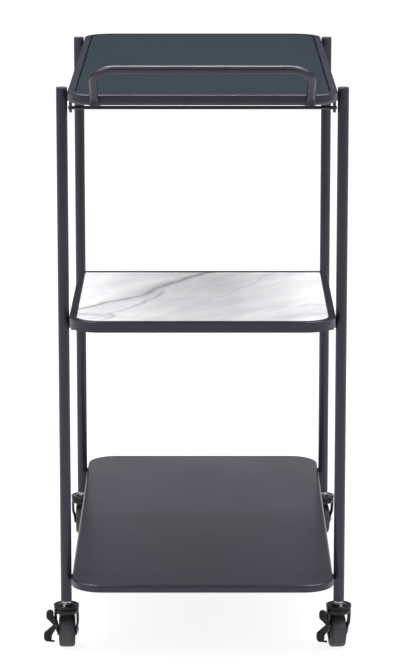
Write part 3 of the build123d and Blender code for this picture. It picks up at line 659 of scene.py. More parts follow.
# %% [markdown]
# Tyre rubber
#
# The treads are a grey-black rubber, lighter along the middle where they roll. The wear band is
# a ring about each wheel's own axle, which a plain noise can't follow, so the tyre's mesh carries
# its wear as an attribute, which falls off from the middle plane, and the material reads it.

# %% Tyre rubber
WEAR_ATTRIBUTE = "tread_wear"
RUBBER_DARK = (0.015, 0.014, 0.018)
RUBBER_DUSTY = (0.05, 0.048, 0.058)
LEAST_DUST = 0.6


def make_tyre_rubber():
    material, tree, shader, place = new_finish("tyre_rubber", (0.06, 0.06, 0.06), 0.55)
    wear = tree.nodes.new("ShaderNodeAttribute")
    wear.attribute_name = WEAR_ATTRIBUTE
    tone = use_group(tree, tone_group, Vector=place, Scale=60.0, Contrast=1.5)
    patchy = spread_value(tree, tone.outputs["Mask"], LEAST_DUST, 1.0)
    dusty = math_node(tree, "MULTIPLY", wear.outputs["Fac"], patchy)
    colour = mix_colour(tree, dusty, RUBBER_DARK, RUBBER_DUSTY)
    tree.links.new(colour, shader.inputs["Base Color"])
    add_grain(tree, shader, place, 1500.0, 4500.0, 0.7, depth=0.00006, strength=0.5)
    print("finish", material.name)
    return material


tyre_rubber = make_tyre_rubber()


# %% [markdown]
# Bright zinc and ball steel
#
# The nuts between casters and legs and the axles are bright zinc plate. Zinc is a metal with a
# faint blue cast and a fine spangle, so its roughness varies by small cells.

# %% Metals
DARKER_SHARE = 0.8
SMOOTHER_SHARE = 0.8
ROUGHER_SHARE = 1.3


def make_metal(name, colour, roughness, cell_scale):
    material, tree, shader, place = new_finish(name, colour, roughness, metallic=1.0)
    tone = use_group(tree, tone_group, Vector=place, Scale=cell_scale, Contrast=1.4)
    darker = tuple(channel * DARKER_SHARE for channel in colour)
    vary_surface(
        tree, shader, tone.outputs["Mask"], (darker, colour),
        (roughness * SMOOTHER_SHARE, roughness * ROUGHER_SHARE),
    )
    add_grain(tree, shader, place, 1800.0, 5000.0, 0.5, depth=0.00001, strength=0.4)
    print("finish", name)
    return material


zinc_plate = make_metal("zinc_plate", (0.5, 0.51, 0.54), 0.2, 350.0)
ball_steel = make_metal("ball_steel", (0.75, 0.75, 0.75), 0.1, 200.0)


# %% [markdown]
# Dark tinted glass
#
# The top is a sheet of smoked glass over the tray's dark floor, so what the eye gets is a dark
# blue-green with a soft gloss. The glass is a real transmitting shader with a tint that the
# plate's own thickness can't give at this darkness, so the tint sits in the base colour.

# %% Dark glass
GLASS_DARK = (0.076, 0.116, 0.144)
GLASS_LIGHT = (0.095, 0.139, 0.172)
GLASS_ROUGHNESS = (0.05, 0.08)


def make_dark_glass():
    material, tree, shader, place = new_finish("dark_glass", (0.1, 0.16, 0.18), 0.06)
    shader.inputs["Transmission Weight"].default_value = 0.85
    shader.inputs["IOR"].default_value = 1.4
    tone = use_group(tree, tone_group, Vector=place, Scale=5.0, Contrast=0.8)
    mask = tone.outputs["Mask"]
    vary_surface(tree, shader, mask, (GLASS_DARK, GLASS_LIGHT), GLASS_ROUGHNESS)
    print("finish", material.name)
    return material


dark_glass = make_dark_glass()


# %% [markdown]
# White marble
#
# The slab is a white marble with long grey veins that wander from the left towards the rear.
# A vein is a crack that filled with darker mineral, so it is narrow, changes its width, and
# never runs straight. Wave textures repeat too evenly for that. Instead each vein is a chain of
# straight runs across the slab, given in millimetres, and a noise bends the space that they are
# drawn in. One group measures the distance from a run and turns it into a soft line.

# %% One run of a vein
vein_group, start, end = new_group(
    "marble_vein",
    [("Vector", "NodeSocketVector", None), ("From", "NodeSocketVector", None),
     ("To", "NodeSocketVector", None), ("Half Width", "NodeSocketFloat", 0.002)],
    [("Mask", "NodeSocketFloat")],
)
VEIN_SOFTNESS = 1.6
given = start.outputs
run = vector_node(vein_group, "SUBTRACT", given["To"], given["From"]).outputs[0]
reach = vector_node(vein_group, "SUBTRACT", given["Vector"], given["From"]).outputs[0]
along = vector_node(vein_group, "DOT_PRODUCT", reach, run).outputs["Value"]
length_squared = vector_node(vein_group, "DOT_PRODUCT", run, run).outputs["Value"]
share = math_node(vein_group, "DIVIDE", along, length_squared, clamp=True)
on_run = vein_group.nodes.new("ShaderNodeVectorMath")
on_run.operation = "SCALE"
vein_group.links.new(run, on_run.inputs[0])
vein_group.links.new(share, on_run.inputs["Scale"])
offset = vector_node(vein_group, "DISTANCE", reach, on_run.outputs[0]).outputs["Value"]
narrowed = math_node(vein_group, "DIVIDE", offset, given["Half Width"])
near = math_node(vein_group, "SUBTRACT", 1.0, narrowed, clamp=True)
soft = math_node(vein_group, "POWER", near, VEIN_SOFTNESS)
vein_group.links.new(soft, end.inputs["Mask"])


# %% Veins and colours of the marble
VEINS_MM = (
    # half width and strength of the vein, then its corners across the slab
    (12.0, 1.0, ((-178, -279), (-147, -242), (-124, -219), (-89, -178), (-72, -134), (-48, -100),
                (-25, -61), (-5, -15), (12, 2))),
    (30.0, 0.34, ((-150, -262), (-124, -225), (-95, -190), (-70, -120), (-40, -80))),
    (7.0, 0.6, ((-140, -362), (-131, -331), (-136, -310), (-115, -296), (-82, -238), (-60, -150))),
    (5.0, 0.32, ((19, -201), (37, -179), (74, -103), (84, -60), (110, 0))),
    (6.0, 0.55, ((142, -264), (161, -242), (184, -256))),
    (3.0, 0.3, ((-20, -364), (5, -330), (60, -300), (95, -262), (142, -264))),
    (3.0, 0.15, ((-120, -222), (-150, -150), (-170, -60), (-178, -10))),
)
MARBLE_GREY = (0.6, 0.605, 0.625)
MARBLE_WHITE = (0.93, 0.93, 0.93)
VEIN_GREY = (0.12, 0.12, 0.136)
BEND_PUSH = 0.036
GRAIN_TURN = math.radians(56)
GRAIN_STRETCH = 3.2
FAINTEST_VEIN = 0.45
MARBLE_ROUGHNESS = (0.26, 0.36)


# %% Space that a noise bends
def bent_place(tree, place):
    flat = vector_node(tree, "MULTIPLY", place, (1.0, 1.0, 0.0)).outputs[0]
    bend = tree.nodes.new("ShaderNodeTexNoise")
    bend.inputs["Scale"].default_value = 13.0
    bend.inputs["Detail"].default_value = 3.0
    bend.inputs["Roughness"].default_value = 0.42
    tree.links.new(place, bend.inputs["Vector"])
    centred = vector_node(tree, "SUBTRACT", bend.outputs["Color"], (0.5, 0.5, 0.5)).outputs[0]
    push = vector_node(tree, "MULTIPLY", centred, (BEND_PUSH, BEND_PUSH, 0.0)).outputs[0]
    return vector_node(tree, "ADD", flat, push).outputs[0]


# %% All the veins in one mask
def vein_mask(tree, bent):
    veins = None
    runs = 0
    for half_width, strength, corners in VEINS_MM:
        for first, second in zip(corners, corners[1:]):
            line = use_group(tree, vein_group, Vector=bent, Half_Width=half_width * MM)
            line.inputs["From"].default_value = (first[0] * MM, first[1] * MM, 0.0)
            line.inputs["To"].default_value = (second[0] * MM, second[1] * MM, 0.0)
            weighted = math_node(tree, "MULTIPLY", line.outputs["Mask"], strength)
            veins = weighted if veins is None else math_node(tree, "MAXIMUM", veins, weighted)
            runs += 1
    print("veins", len(VEINS_MM), "in", runs, "runs")
    return veins


# %% Marble finish
def make_marble():
    material, tree, shader, place = new_finish("white_marble", (0.82, 0.81, 0.79), 0.3)
    bent = bent_place(tree, place)
    breaks = use_group(tree, tone_group, Vector=place, Scale=40.0, Contrast=1.5)
    strengths = spread_value(tree, breaks.outputs["Mask"], FAINTEST_VEIN, 1.0)
    broken = math_node(tree, "MULTIPLY", vein_mask(tree, bent), strengths)
    grain_way = tree.nodes.new("ShaderNodeMapping")
    grain_way.vector_type = "TEXTURE"
    grain_way.inputs["Rotation"].default_value = (0.0, 0.0, GRAIN_TURN)
    grain_way.inputs["Scale"].default_value = (GRAIN_STRETCH, 1.0, 1.0)
    tree.links.new(bent, grain_way.inputs["Vector"])
    clouds = use_group(tree, tone_group, Vector=grain_way.outputs[0], Scale=26.0, Contrast=1.5)
    ground = mix_colour(tree, clouds.outputs["Mask"], MARBLE_GREY, MARBLE_WHITE)
    tree.links.new(mix_colour(tree, broken, ground, VEIN_GREY), shader.inputs["Base Color"])
    roughness = spread_value(tree, clouds.outputs["Mask"], *MARBLE_ROUGHNESS)
    tree.links.new(roughness, shader.inputs["Roughness"])
    return material


white_marble = make_marble()


# %% [markdown]
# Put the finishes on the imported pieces
#
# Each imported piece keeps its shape. Its material slot in the record says what it is made of, so
# one table from slot to finish dresses all of them. A small bevel on the sheets, plates and
# spacers gives their edges the thin highlight that real edges have.

# %% Finishes by slot
FINISH_OF_SLOT = {
    "satin_black_coat": powder_coat,
    "cap_plastic": cap_plastic,
    "socket_plastic": socket_nylon,
    "dark_glass": dark_glass,
    "clear_pad": clear_pad,
    "black_pad": pad_rubber,
    "white_marble": white_marble,
    "black_screw": screw_black,
    "zinc_plate": zinc_plate,
    "bearing_steel": ball_steel,
    "caster_black": caster_enamel,
    "hub_plastic": hub_nylon,
    "tyre_rubber": tyre_rubber,
    "lever_plastic": lever_plastic,
}
for entry in frame["record"]["subparts"]:
    piece = nodes[entry["node"]]
    finish = FINISH_OF_SLOT[entry["material_slot"]]
    for slot in piece.material_slots:
        slot.material = finish
print("dressed", len(nodes), "packed pieces")


# %% Soft edges on sheets, plates and spacers
EDGE_ANGLE = math.radians(35)
EDGE_WIDTHS_MM = {
    "top_tray": 0.4,
    "middle_frame": 0.4,
    "bottom_shelf": 0.3,
    "tray_brackets": 0.3,
    "middle_brackets": 0.3,
    "slab_straps": 0.3,
    "shelf_spacers": 0.2,
}
for name, width in EDGE_WIDTHS_MM.items():
    bevel = nodes[name].modifiers.new("soft_edge", "BEVEL")
    bevel.width = width * MM
    bevel.segments = 2
    bevel.limit_method = "ANGLE"
    bevel.angle_limit = EDGE_ANGLE
    bevel.harden_normals = True
print("soft edges on", len(EDGE_WIDTHS_MM), "pieces")


# %% [markdown]
# Where each caster stands
#
# The casters are four copies of one make, each turned about its own stem. The joints of the
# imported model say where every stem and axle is, so each caster gets a small frame of its own:
# x along the axle, y towards the trail, z up, with its origin on the floor under the stem.

# %% Caster frames
def caster_matrix(corner):
    swivel = Vector(joints[f"caster_swivel_{corner}"]["pos_m"])
    across = Vector(joints[f"wheel_spin_{corner}"]["axis"]).normalized()
    up = Vector((0.0, 0.0, 1.0))
    back = up.cross(across)
    turn = Matrix((across, back, up)).transposed().to_4x4()
    return Matrix.Translation((swivel.x, swivel.y, 0.0)) @ turn


def axle_matrix(corner):
    return caster_frames[corner] @ Matrix.Translation((0.0, AXLE_BACK, AXLE_HEIGHT))


caster_frames = {corner: caster_matrix(corner) for corner in CORNER_NAMES}
first_frame = caster_frames["front_left"].inverted()
axle_place = first_frame @ Vector(joints["wheel_spin_front_left"]["pos_m"])
AXLE_BACK = axle_place.y
AXLE_HEIGHT = axle_place.z
tyre_low, tyre_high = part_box("tyre_front_left")
hub_low, hub_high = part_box("wheel_hub_front_left")
WHEEL_RADIUS = (tyre_high.z - tyre_low.z) / 2
WHEEL_HALF = (tyre_high.x - tyre_low.x) / 2
HUB_RADIUS = (hub_high.z - hub_low.z) / 2
HUB_HALF = (hub_high.x - hub_low.x) / 2
print("trail", round(AXLE_BACK, 4), "wheel radius", round(WHEEL_RADIUS, 4))
print("hub radius", round(HUB_RADIUS, 4))


# %% [markdown]
# Tyres
#
# A solid rubber tread has a slightly crowned face, a thin mould line round its middle, soft
# shoulders and a shallow step on each side where it grips the hub. It is one profile turned
# about the axle. The plain solid keeps the collision, and this piece stands for it.

# %% Profile of a tyre
TYRE_SIDE_MM = (
    # inset from the tyre's side, rise above the hub
    (0.0, 0.0), (0.0, 1.6), (0.5, 2.0), (0.5, 4.6), (0.15, 5.0),
)
SHOULDER_INSET = 0.15 * MM
SHOULDER_RADIUS = 3.6 * MM
SHOULDER_STEPS = 6
CROWN_DROP = 0.35 * MM
CROWN_STEPS = 5
LINE_HALF = 0.3 * MM
LINE_DEPTH = 0.35 * MM


def tyre_profile():
    """Closed loop of (along the axle, radius), from the hub over one shoulder to the other."""
    side = SHOULDER_INSET - WHEEL_HALF
    shoulder_top = WHEEL_RADIUS - CROWN_DROP
    left = [(inset * MM - WHEEL_HALF, HUB_RADIUS + rise * MM) for inset, rise in TYRE_SIDE_MM]
    for step in range(SHOULDER_STEPS + 1):
        angle = math.pi / 2 * step / SHOULDER_STEPS
        left.append((
            side + SHOULDER_RADIUS * (1 - math.cos(angle)),
            shoulder_top - SHOULDER_RADIUS * (1 - math.sin(angle)),
        ))
    for step in range(1, CROWN_STEPS):
        rest = 1 - step / CROWN_STEPS
        left.append(((side + SHOULDER_RADIUS) * rest, WHEEL_RADIUS - CROWN_DROP * rest ** 2))
    left += [(-LINE_HALF, WHEEL_RADIUS), (-LINE_HALF / 2, WHEEL_RADIUS - LINE_DEPTH)]
    return left + [(-across, radius) for across, radius in reversed(left)]


# %% Tyres
WORN_DEPTH = 2.0 * MM


def make_tyre(corner):
    bm = bmesh.new()
    axle = axle_matrix(corner)
    turn_profile(bm, tyre_profile(), axle, 96)
    piece = place_piece(bm, f"tread_{corner}", f"wheel_{corner}", "tyre_rubber", 30.0)
    wear = piece.data.attributes.new(WEAR_ATTRIBUTE, "FLOAT", "POINT")
    back = axle.inverted()
    for vertex, value in zip(piece.data.vertices, wear.data):
        place = back @ vertex.co
        radius = math.hypot(place.y, place.z)
        rolled = max(0.0, 1.0 - (abs(place.x) / WHEEL_HALF) ** 2)
        value.value = rolled if radius > WHEEL_RADIUS - WORN_DEPTH else 0.0
    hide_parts(f"tyre_{corner}")


for corner in CORNER_NAMES:
    make_tyre(corner)


# %% [markdown]
# Wheel hubs
#
# The nylon hub has a boss, a thin web and ribs that run from the boss to the rim, as a moulded
# wheel does to save material. The turned part is one profile, and the ribs are thin soft-edged
# walls set round it.

# %% Profile of a hub
AXLE_BORE = HUB_RADIUS * 0.18
BOSS_RADIUS = HUB_RADIUS * 0.41
WEB_HALF = 2.0 * MM
RIM_HALF = WHEEL_HALF - 0.5 * MM
RIM_INNER = HUB_RADIUS - 3.0 * MM


def hub_profile():
    right = [
        # along the axle, radius, rounding in mm
        (HUB_HALF, AXLE_BORE, 0.0),
        (HUB_HALF, BOSS_RADIUS, 0.8),
        (WEB_HALF, BOSS_RADIUS + 1.2 * MM, 1.2),
        (WEB_HALF, RIM_INNER - 0.8 * MM, 1.0),
        (RIM_HALF, RIM_INNER, 0.5),
        (RIM_HALF, HUB_RADIUS, 0.0),
    ]
    left = [(-along, radius, rounding) for along, radius, rounding in reversed(right)]
    corners = right + left
    return rounded([corner[:2] for corner in corners], [corner[2] * MM for corner in corners], 3)


# %% Ribbed hubs
RIB_COUNT = 8
RIB_HALF = 0.6 * MM
RIB_EDGE = 0.2 * MM
RIB_BOSS_INSET = 2.2 * MM
RIB_BOSS_DEPTH = 0.6 * MM
RIB_RIM_INSET = 1.6 * MM
RIB_RIM_DEPTH = 0.4 * MM


def make_hub(corner):
    bm = bmesh.new()
    axle = axle_matrix(corner)
    turn_profile(bm, hub_profile(), axle, 72)
    at_boss = HUB_HALF - RIB_BOSS_INSET
    at_rim = WHEEL_HALF - RIB_RIM_INSET
    outline = [
        (-at_boss, BOSS_RADIUS - RIB_BOSS_DEPTH), (-at_rim, RIM_INNER + RIB_RIM_DEPTH),
        (at_rim, RIM_INNER + RIB_RIM_DEPTH), (at_boss, BOSS_RADIUS - RIB_BOSS_DEPTH),
    ]
    for rib in range(RIB_COUNT):
        turn = Matrix.Rotation(2 * math.pi * rib / RIB_COUNT, 4, "X")
        soft_prism(bm, outline, axle @ turn, -RIB_HALF, RIB_HALF, RIB_EDGE, 2)
    piece = place_piece(bm, f"ribbed_hub_{corner}", f"wheel_{corner}", "hub_plastic", 35.0)
    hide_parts(f"wheel_hub_{corner}")


for corner in CORNER_NAMES:
    make_hub(corner)


# %% [markdown]
# Bearing caps
#
# Each caster turns in a pressed cap that hides the ball ring. Pressed sheet has no sharp
# corners: the rim rolls over at the top, a groove runs round under the roll, the foot turns in,
# and the top dips a little round the nut's seat. A turned profile with rounded corners gives all
# of that at once. Below the roll the cap is hollow where the balls run.

# %% Profile of a bearing cap
UPRIGHT = Matrix.Rotation(-math.pi / 2, 4, "Y")
STEM_BORE = 4.1
SEAT_RADIUS = 8.9
RACE_INNER = 8.4
RACE_OUTER = 13.6
cap_low, cap_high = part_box("bearing_caps")
CAP_FOOT = cap_low.z / MM
CAP_SEAT = cap_high.z / MM
CAP_RADIUS = (joints["caster_swivel_front_left"]["pos_m"][0] - cap_low.x) / MM


def in_metres(points):
    return [(first * MM, second * MM) for first, second in points]


def upright_axis(corner):
    swivel = joints[f"caster_swivel_{corner}"]["pos_m"]
    return Matrix.Translation((swivel[0], swivel[1], 0.0)) @ UPRIGHT


def rounded_mm(corners, steps):
    """corners: (first, second, rounding), all in millimetres. The loop comes out in metres."""
    places = [corner[:2] for corner in corners]
    roundings = [corner[2] for corner in corners]
    return in_metres(rounded(places, roundings, steps))


def cap_profile():
    rim = CAP_RADIUS
    return rounded_mm((
        # height, radius, rounding
        (CAP_FOOT, rim - 1.0, 0.3), (CAP_FOOT + 0.4, rim - 0.1, 0.4),
        (CAP_FOOT + 1.8, rim, 0.5), (CAP_FOOT + 2.2, rim - 0.5, 0.3),
        (CAP_FOOT + 2.7, rim - 0.5, 0.3), (CAP_FOOT + 3.1, rim, 0.6),
        (CAP_SEAT - 0.7, rim, 1.1), (CAP_SEAT - 0.7, rim - 1.8, 0.8),
        (CAP_SEAT - 1.6, rim - 3.2, 1.2), (CAP_SEAT - 1.4, SEAT_RADIUS + 1.7, 1.2),
        (CAP_SEAT, SEAT_RADIUS, 0.6), (CAP_SEAT, STEM_BORE, 0.0),
        (CAP_FOOT, STEM_BORE, 0.0), (CAP_FOOT, RACE_INNER, 0.0),
        (CAP_FOOT + 2.2, RACE_INNER, 0.0), (CAP_FOOT + 2.2, RACE_OUTER, 0.0),
        (CAP_FOOT + 0.3, RACE_OUTER, 0.0), (CAP_FOOT + 0.3, rim - 1.6, 0.0),
    ), 4)


# %% Bearing caps
bm = bmesh.new()
for corner in CORNER_NAMES:
    turn_profile(bm, cap_profile(), upright_axis(corner), 72)
rolled_caps = place_piece(bm, "rolled_bearing_caps", "frame", "caster_black", 50.0)
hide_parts("bearing_caps")


# %% [markdown]
# Nuts under the legs
#
# A bright nut locks each caster's stem against the leg. The photograph shows glints where its
# chamfer and flats meet, so the nut is a hexagon whose two faces are cut by a cone, which draws
# the well-known arcs on the flats, and it stands on a thin washer.

# %% Nuts under the legs
NUT_FLATS = 13.0
WASHER_RADIUS = 8.0
WASHER_HEIGHT = 0.9
nut_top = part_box("stem_nuts")[1].z / MM


def washer_profile():
    top = CAP_SEAT + WASHER_HEIGHT
    return rounded_mm((
        (CAP_SEAT, STEM_BORE, 0.0), (CAP_SEAT, WASHER_RADIUS, 0.25),
        (top, WASHER_RADIUS, 0.25), (top, STEM_BORE, 0.0),
    ), 3)


bm = bmesh.new()
nut_foot = CAP_SEAT + WASHER_HEIGHT
for corner in CORNER_NAMES:
    axis = upright_axis(corner)
    turn_profile(bm, washer_profile(), axis, 48)
    chamfered_nut(bm, axis, nut_foot * MM, nut_top * MM, NUT_FLATS * MM, STEM_BORE * MM)
bright_nuts = place_piece(bm, "chamfered_stem_nuts", "frame", "zinc_plate", 25.0)
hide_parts("stem_nuts")


# %% [markdown]
# Forks
#
# A fork is one die-cast piece: a round crown with two arms that hang down from it, step in
# towards the wheel and end in a round eye for the axle. Boxes with bevels would keep the step's
# hard creases. Here each arm is a stack of rounded sections from the eye to the crown, whose
# distance from the wheel follows one smooth curve, and the crown is turned. A fork with a brake
# lever also has a small lug, which carries the lever's pin.

# %% Crown of a fork
ARM_INNER = 14.1
ARM_OUTER = 17.9
FOOT_INNER = 12.1
FOOT_OUTER = 14.7
CROWN_FOOT = 57.4
CROWN_TOP = 64.0
CROWN_PLATE = 3.5
AXLE_Y = AXLE_BACK / MM
AXLE_Z = AXLE_HEIGHT / MM


def crown_profile():
    ceiling = CROWN_TOP - CROWN_PLATE
    skirt = ARM_OUTER - 0.4
    return rounded_mm((
        # height, radius, rounding
        (CROWN_TOP, STEM_BORE, 0.0), (CROWN_TOP, ARM_OUTER, 1.4),
        (CROWN_FOOT + 2.6, ARM_OUTER, 0.8), (CROWN_FOOT + 2.0, skirt, 0.6),
        (CROWN_FOOT, skirt, 1.3), (CROWN_FOOT, ARM_INNER + 0.2, 0.6),
        (ceiling, ARM_INNER, 1.0), (ceiling, STEM_BORE, 0.0),
    ), 5)


# %% Arms of a fork
EYE_RADIUS = 8.0
ARM_REACH = 5.0
ARM_EDGE = 1.1
ARM_TOP = CROWN_TOP - CROWN_PLATE + 0.6
STEP_INSIDE = (AXLE_Z + 3.0, AXLE_Z + 14.0)
STEP_OUTSIDE = (AXLE_Z + 1.0, AXLE_Z + 17.0)
arm_outline = hull_outline(
    circle_points(AXLE_Y, AXLE_Z, EYE_RADIUS, 72) + [(-ARM_REACH, ARM_TOP), (ARM_REACH, ARM_TOP)]
)


def crossings(outline, z):
    """Where a level line crosses an outline of (y, z)."""
    found = []
    for (y0, z0), (y1, z1) in zip(outline, outline[1:] + outline[:1]):
        if (z0 - z) * (z1 - z) <= 0 and z0 != z1:
            found.append(y0 + (y1 - y0) * (z - z0) / (z1 - z0))
    return min(found), max(found)


def ease(value, low, high):
    t = min(1.0, max(0.0, (value - low) / (high - low)))
    return t * t * (3 - 2 * t)


EDGE_SHARE = 0.45             # most of a section's width or depth that one edge may take


def arm_section(z, steps=4):
    """Rounded rectangle of (x, y) at one height, for the arm on the +x side."""
    inner = FOOT_INNER + (ARM_INNER - FOOT_INNER) * ease(z, *STEP_INSIDE)
    outer = FOOT_OUTER + (ARM_OUTER - FOOT_OUTER) * ease(z, *STEP_OUTSIDE)
    near, far = crossings(arm_outline, z)
    rise = z - (AXLE_Z - EYE_RADIUS)
    if rise < ARM_EDGE:
        thinner = ARM_EDGE - math.sqrt(max(0.0, ARM_EDGE ** 2 - (ARM_EDGE - rise) ** 2))
        inner += thinner
        outer -= thinner
    edge = min(ARM_EDGE, (far - near) * EDGE_SHARE, (outer - inner) * EDGE_SHARE)
    section = []
    for cx, cy, first in ((outer - edge, far - edge, 0), (inner + edge, far - edge, 1),
                          (inner + edge, near + edge, 2), (outer - edge, near + edge, 3)):
        for step in range(steps + 1):
            angle = math.pi / 2 * (first + step / steps)
            section.append((cx + edge * math.cos(angle), cy + edge * math.sin(angle)))
    return section


# %% Levels of an arm's sections
EYE_STEPS = 9
EYE_START = 0.25              # share of a step at which the lowest section lies
ARM_STEPS = 18
arm_levels = []
for i in range(EYE_STEPS):
    angle = math.pi / 2 * (i + EYE_START) / EYE_STEPS
    arm_levels.append(AXLE_Z - EYE_RADIUS * math.cos(angle))
for i in range(ARM_STEPS + 1):
    arm_levels.append(AXLE_Z + (ARM_TOP - AXLE_Z) * i / ARM_STEPS)
print("arm sections", len(arm_levels))


# %% Forks
PIVOT_X = -15.1
PIVOT_Z = 39.5
LUG_HALF_WIDTH = 2.4
LUG_HALF_HEIGHT = 4.0
LUG_FRONT = -2.3
LUG_BACK = 5.0
LUG_ROUNDING = 1.2
LUG_EDGE = 0.4


def stack_sections(bm, matrix, sections):
    """sections: loops with the same count of points. Each is joined to the next."""
    rings = [[bm.verts.new(matrix @ Vector(point)) for point in section] for section in sections]
    join_rings(bm, rings)
    close_ends(bm, rings)


def lug_outline():
    left = PIVOT_X - LUG_HALF_WIDTH
    right = PIVOT_X + LUG_HALF_WIDTH
    foot = PIVOT_Z - LUG_HALF_HEIGHT
    top = PIVOT_Z + LUG_HALF_HEIGHT
    corners = [(left, foot), (right, foot), (right, top), (left, top)]
    return in_metres(rounded(corners, LUG_ROUNDING, 4))


def make_fork(corner):
    bm = bmesh.new()
    place = caster_frames[corner]
    turn_profile(bm, crown_profile(), upright_axis(corner), 96)
    for side in (1, -1):
        stack_sections(bm, place, [
            [(side * x * MM, y * MM, z * MM) for x, y in arm_section(z)] for z in arm_levels
        ])
    if f"brake_lever_{corner}" in nodes:
        soft_prism(bm, lug_outline(), place, LUG_FRONT * MM, LUG_BACK * MM, LUG_EDGE * MM)
    piece = place_piece(bm, f"cast_fork_{corner}", f"swivel_{corner}", "caster_black", 35.0)
    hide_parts(f"fork_{corner}")


for corner in CORNER_NAMES:
    make_fork(corner)


# %% [markdown]
# Axles
#
# The wheel turns on a zinc-plated bolt with a low domed head on one side and a thin chamfered
# nut on the other. The bolt is one turned profile from the top of the dome to its chamfered tip,
# which ends flush with the nut.

# %% Profile of an axle bolt
AXLE_RADIUS = 3.0
HEAD_RADIUS = 4.6
HEAD_HEIGHT = 1.7
HEAD_RIM = 0.4
HEAD_CHAMFER = (0.1, 0.15)
TIP_CHAMFER = (0.5, 0.6)
NUT_HEIGHT = 2.2
DOME_STEPS = 8


def bolt_profile():
    """From the middle of the dome, along the bolt, to the middle of its tip."""
    head = -FOOT_OUTER
    tip = FOOT_OUTER + NUT_HEIGHT
    points = [(head - HEAD_HEIGHT, 0.0)]
    for step in range(1, DOME_STEPS + 1):
        angle = math.pi / 2 * step / DOME_STEPS
        points.append((
            head - HEAD_RIM - (HEAD_HEIGHT - HEAD_RIM) * math.cos(angle),
            HEAD_RADIUS * math.sin(angle),
        ))
    points += [(head - HEAD_CHAMFER[0], HEAD_RADIUS), (head, HEAD_RADIUS - HEAD_CHAMFER[1])]
    points += [(head, AXLE_RADIUS), (tip - TIP_CHAMFER[0], AXLE_RADIUS)]
    points += [(tip, AXLE_RADIUS - TIP_CHAMFER[1]), (tip, 0.0)]
    return in_metres(points)


# %% Axle bolts and nuts
AXLE_NUT_FLATS = 9.0
THREAD_GAP = 0.05


def make_axle(corner):
    axle = axle_matrix(corner)
    bm = bmesh.new()
    turn_profile(bm, bolt_profile(), axle, 48, closed=False)
    bolt = place_piece(bm, f"domed_axle_{corner}", f"swivel_{corner}", "zinc_plate", 30.0)
    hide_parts(f"axle_bolt_{corner}")
    bm = bmesh.new()
    nut_end = FOOT_OUTER + NUT_HEIGHT
    bore = AXLE_RADIUS + THREAD_GAP
    chamfered_nut(bm, axle, FOOT_OUTER * MM, nut_end * MM, AXLE_NUT_FLATS * MM, bore * MM)
    nut = place_piece(bm, f"chamfered_axle_nut_{corner}", f"swivel_{corner}", "zinc_plate", 25.0)
    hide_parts(f"axle_nut_{corner}")


for corner in CORNER_NAMES:
    make_axle(corner)


# %% [markdown]
# Brake levers
#
# Each lever rocks on a pin at the caster's side. It has a round pad above and below for a foot,
# with fine level ribs against slipping, a hooked lip under the lower pad and a flat shoe that
# swings against the wheel. The lobes are outlines drawn round two circles and pushed through the
# lever's thickness, with a soft edge, and the ribs are thin beads on the pads.

# %% Outlines of a lever
LEVER_BACK = -2.6
LEVER_FRONT = -9.6
EYE_OF_LEVER = 2.8
PAD_HALF_STRETCH = 2.3
UPPER_PAD = (-23.8, 54.7, 5.4)
LOWER_PAD = (-27.1, 22.9, 5.9)
SHOE_REACH = 2.2
SHOE_RISE = 3.0
SHOE_DROP = 9.0
SHOE_RAKE = 0.5
HOOK_REACH = 9.8
HOOK_HALF = 0.7
HOOK_TILT = math.radians(8.0)
HOOK_ROUNDING = 0.5
SHOE_ROUNDING = 0.6
LOBE_INSET = 0.3


def pad_outline(x, z, radius):
    below = circle_points(x, z - PAD_HALF_STRETCH, radius, 36)
    above = circle_points(x, z + PAD_HALF_STRETCH, radius, 36)
    return hull_outline(below + above)


def lobe_outline(x, z, radius):
    neck_z = z + math.copysign(PAD_HALF_STRETCH, PIVOT_Z - z)
    eye = circle_points(PIVOT_X, PIVOT_Z, EYE_OF_LEVER)
    return hull_outline(eye + circle_points(x, neck_z, radius - LOBE_INSET, 36))


def shoe_outline():
    return rounded([
        (PIVOT_X, PIVOT_Z + SHOE_RISE), (PIVOT_X + SHOE_REACH, PIVOT_Z + SHOE_RISE),
        (PIVOT_X + SHOE_REACH - SHOE_RAKE, PIVOT_Z - SHOE_DROP), (PIVOT_X, PIVOT_Z - SHOE_DROP),
    ], SHOE_ROUNDING, 3)


def hook_outline():
    x, z, radius = LOWER_PAD
    foot = z - radius - PAD_HALF_STRETCH + HOOK_HALF
    along = Vector((math.cos(HOOK_TILT), -math.sin(HOOK_TILT)))
    across = Vector((math.sin(HOOK_TILT), math.cos(HOOK_TILT))) * HOOK_HALF
    middle = Vector((x + HOOK_REACH / 2, foot))
    start = middle - along * HOOK_REACH / 2
    tip = middle + along * HOOK_REACH / 2
    corners = [start - across, tip - across, tip + across, start + across]
    return rounded([tuple(corner) for corner in corners], HOOK_ROUNDING, 3)


# %% Ribs across a pad
RIB_PITCH = 1.5
RIB_RADIUS = 0.45
RIB_END = 0.4
RIB_SHORTEST = 1.0            # a rib whose half is shorter is left out
PAD_MARGIN = 1.3


def rib_pad(bm, matrix, x, z, radius, face):
    """Level beads on the pad's front face, as long as the pad is wide at their height."""
    reach = radius + PAD_HALF_STRETCH - PAD_MARGIN
    count = int(reach // RIB_PITCH)
    for rib in range(-count, count + 1):
        rise = rib * RIB_PITCH
        bend = max(0.0, abs(rise) - PAD_HALF_STRETCH)
        half = math.sqrt(max(0.0, (radius - PAD_MARGIN) ** 2 - bend ** 2))
        if half < RIB_SHORTEST:
            continue
        places = (-half, RIB_END - half, half - RIB_END, half)
        points = [Vector((x + across, face, z + rise)) * MM for across in places]
        lay_bead(bm, [matrix @ point for point in points], RIB_RADIUS * MM)


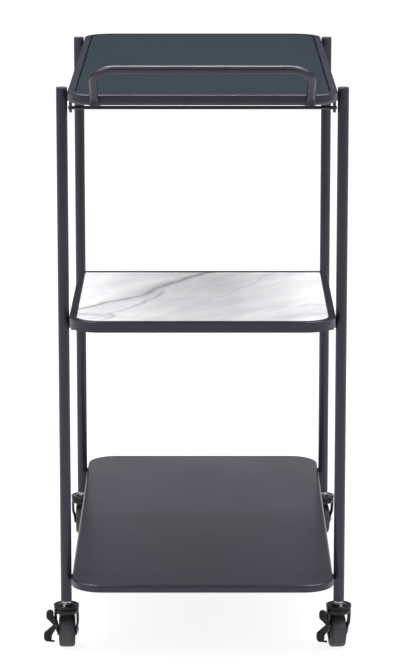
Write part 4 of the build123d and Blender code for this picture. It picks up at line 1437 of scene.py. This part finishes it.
# %% Brake levers
LOBE_SETBACK = 1.2            # how far behind the hook's front face each part of the lever starts
PAD_SETBACK = 0.4
SHOE_SETBACK = 0.2
RIB_SETBACK = 0.45
LOBE_EDGE = 0.9
PAD_EDGE = 1.3
SHOE_EDGE = 0.4
HOOK_EDGE = 0.5


def lever_part(bm, place, outline, setback, edge, steps=3):
    front = (LEVER_FRONT + setback) * MM
    soft_prism(bm, in_metres(outline), place, front, LEVER_BACK * MM, edge * MM, steps)


def make_lever(corner):
    bm = bmesh.new()
    place = caster_frames[corner]
    for pad in (UPPER_PAD, LOWER_PAD):
        lever_part(bm, place, lobe_outline(*pad), LOBE_SETBACK, LOBE_EDGE, 4)
        lever_part(bm, place, pad_outline(*pad), PAD_SETBACK, PAD_EDGE, 5)
        rib_pad(bm, place, *pad, LEVER_FRONT + RIB_SETBACK)
    lever_part(bm, place, shoe_outline(), SHOE_SETBACK, SHOE_EDGE)
    lever_part(bm, place, hook_outline(), 0.0, HOOK_EDGE)
    piece = place_piece(bm, f"ribbed_lever_{corner}", f"brake_{corner}", "lever_plastic", 40.0)
    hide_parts(f"brake_lever_{corner}")


for corner in CORNER_NAMES[:2]:
    make_lever(corner)


# %% Pins of the levers
PIN_RADIUS = 1.6
PIN_HEAD_RADIUS = 2.8
PIN_HEAD_HEIGHT = 0.9
PIN_GAP = 0.3
PIN_TIP = 0.3
PIN_DOME_STEPS = 6
FORWARD = Matrix.Rotation(-math.pi / 2, 4, "Z")


def pin_profile():
    """From the dome in front of the lever, along the pin, to its end in the fork's lug."""
    face = -LEVER_FRONT + PIN_GAP
    points = []
    for step in range(PIN_DOME_STEPS + 1):
        angle = math.pi / 2 * step / PIN_DOME_STEPS
        points.append((
            face + PIN_HEAD_HEIGHT * math.cos(angle),
            PIN_HEAD_RADIUS * math.sin(angle),
        ))
    points += [(face, PIN_RADIUS), (PIN_TIP - LUG_BACK, PIN_RADIUS), (-LUG_BACK, 0.0)]
    return in_metres(points)


for corner in CORNER_NAMES[:2]:
    bm = bmesh.new()
    pivot = Matrix.Translation((PIVOT_X * MM, 0.0, PIVOT_Z * MM))
    axis = caster_frames[corner] @ pivot @ FORWARD
    turn_profile(bm, pin_profile(), axis, 32, closed=False)
    pin = place_piece(bm, f"domed_pin_{corner}", f"swivel_{corner}", "black_screw", 35.0)
    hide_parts(f"brake_pin_{corner}")
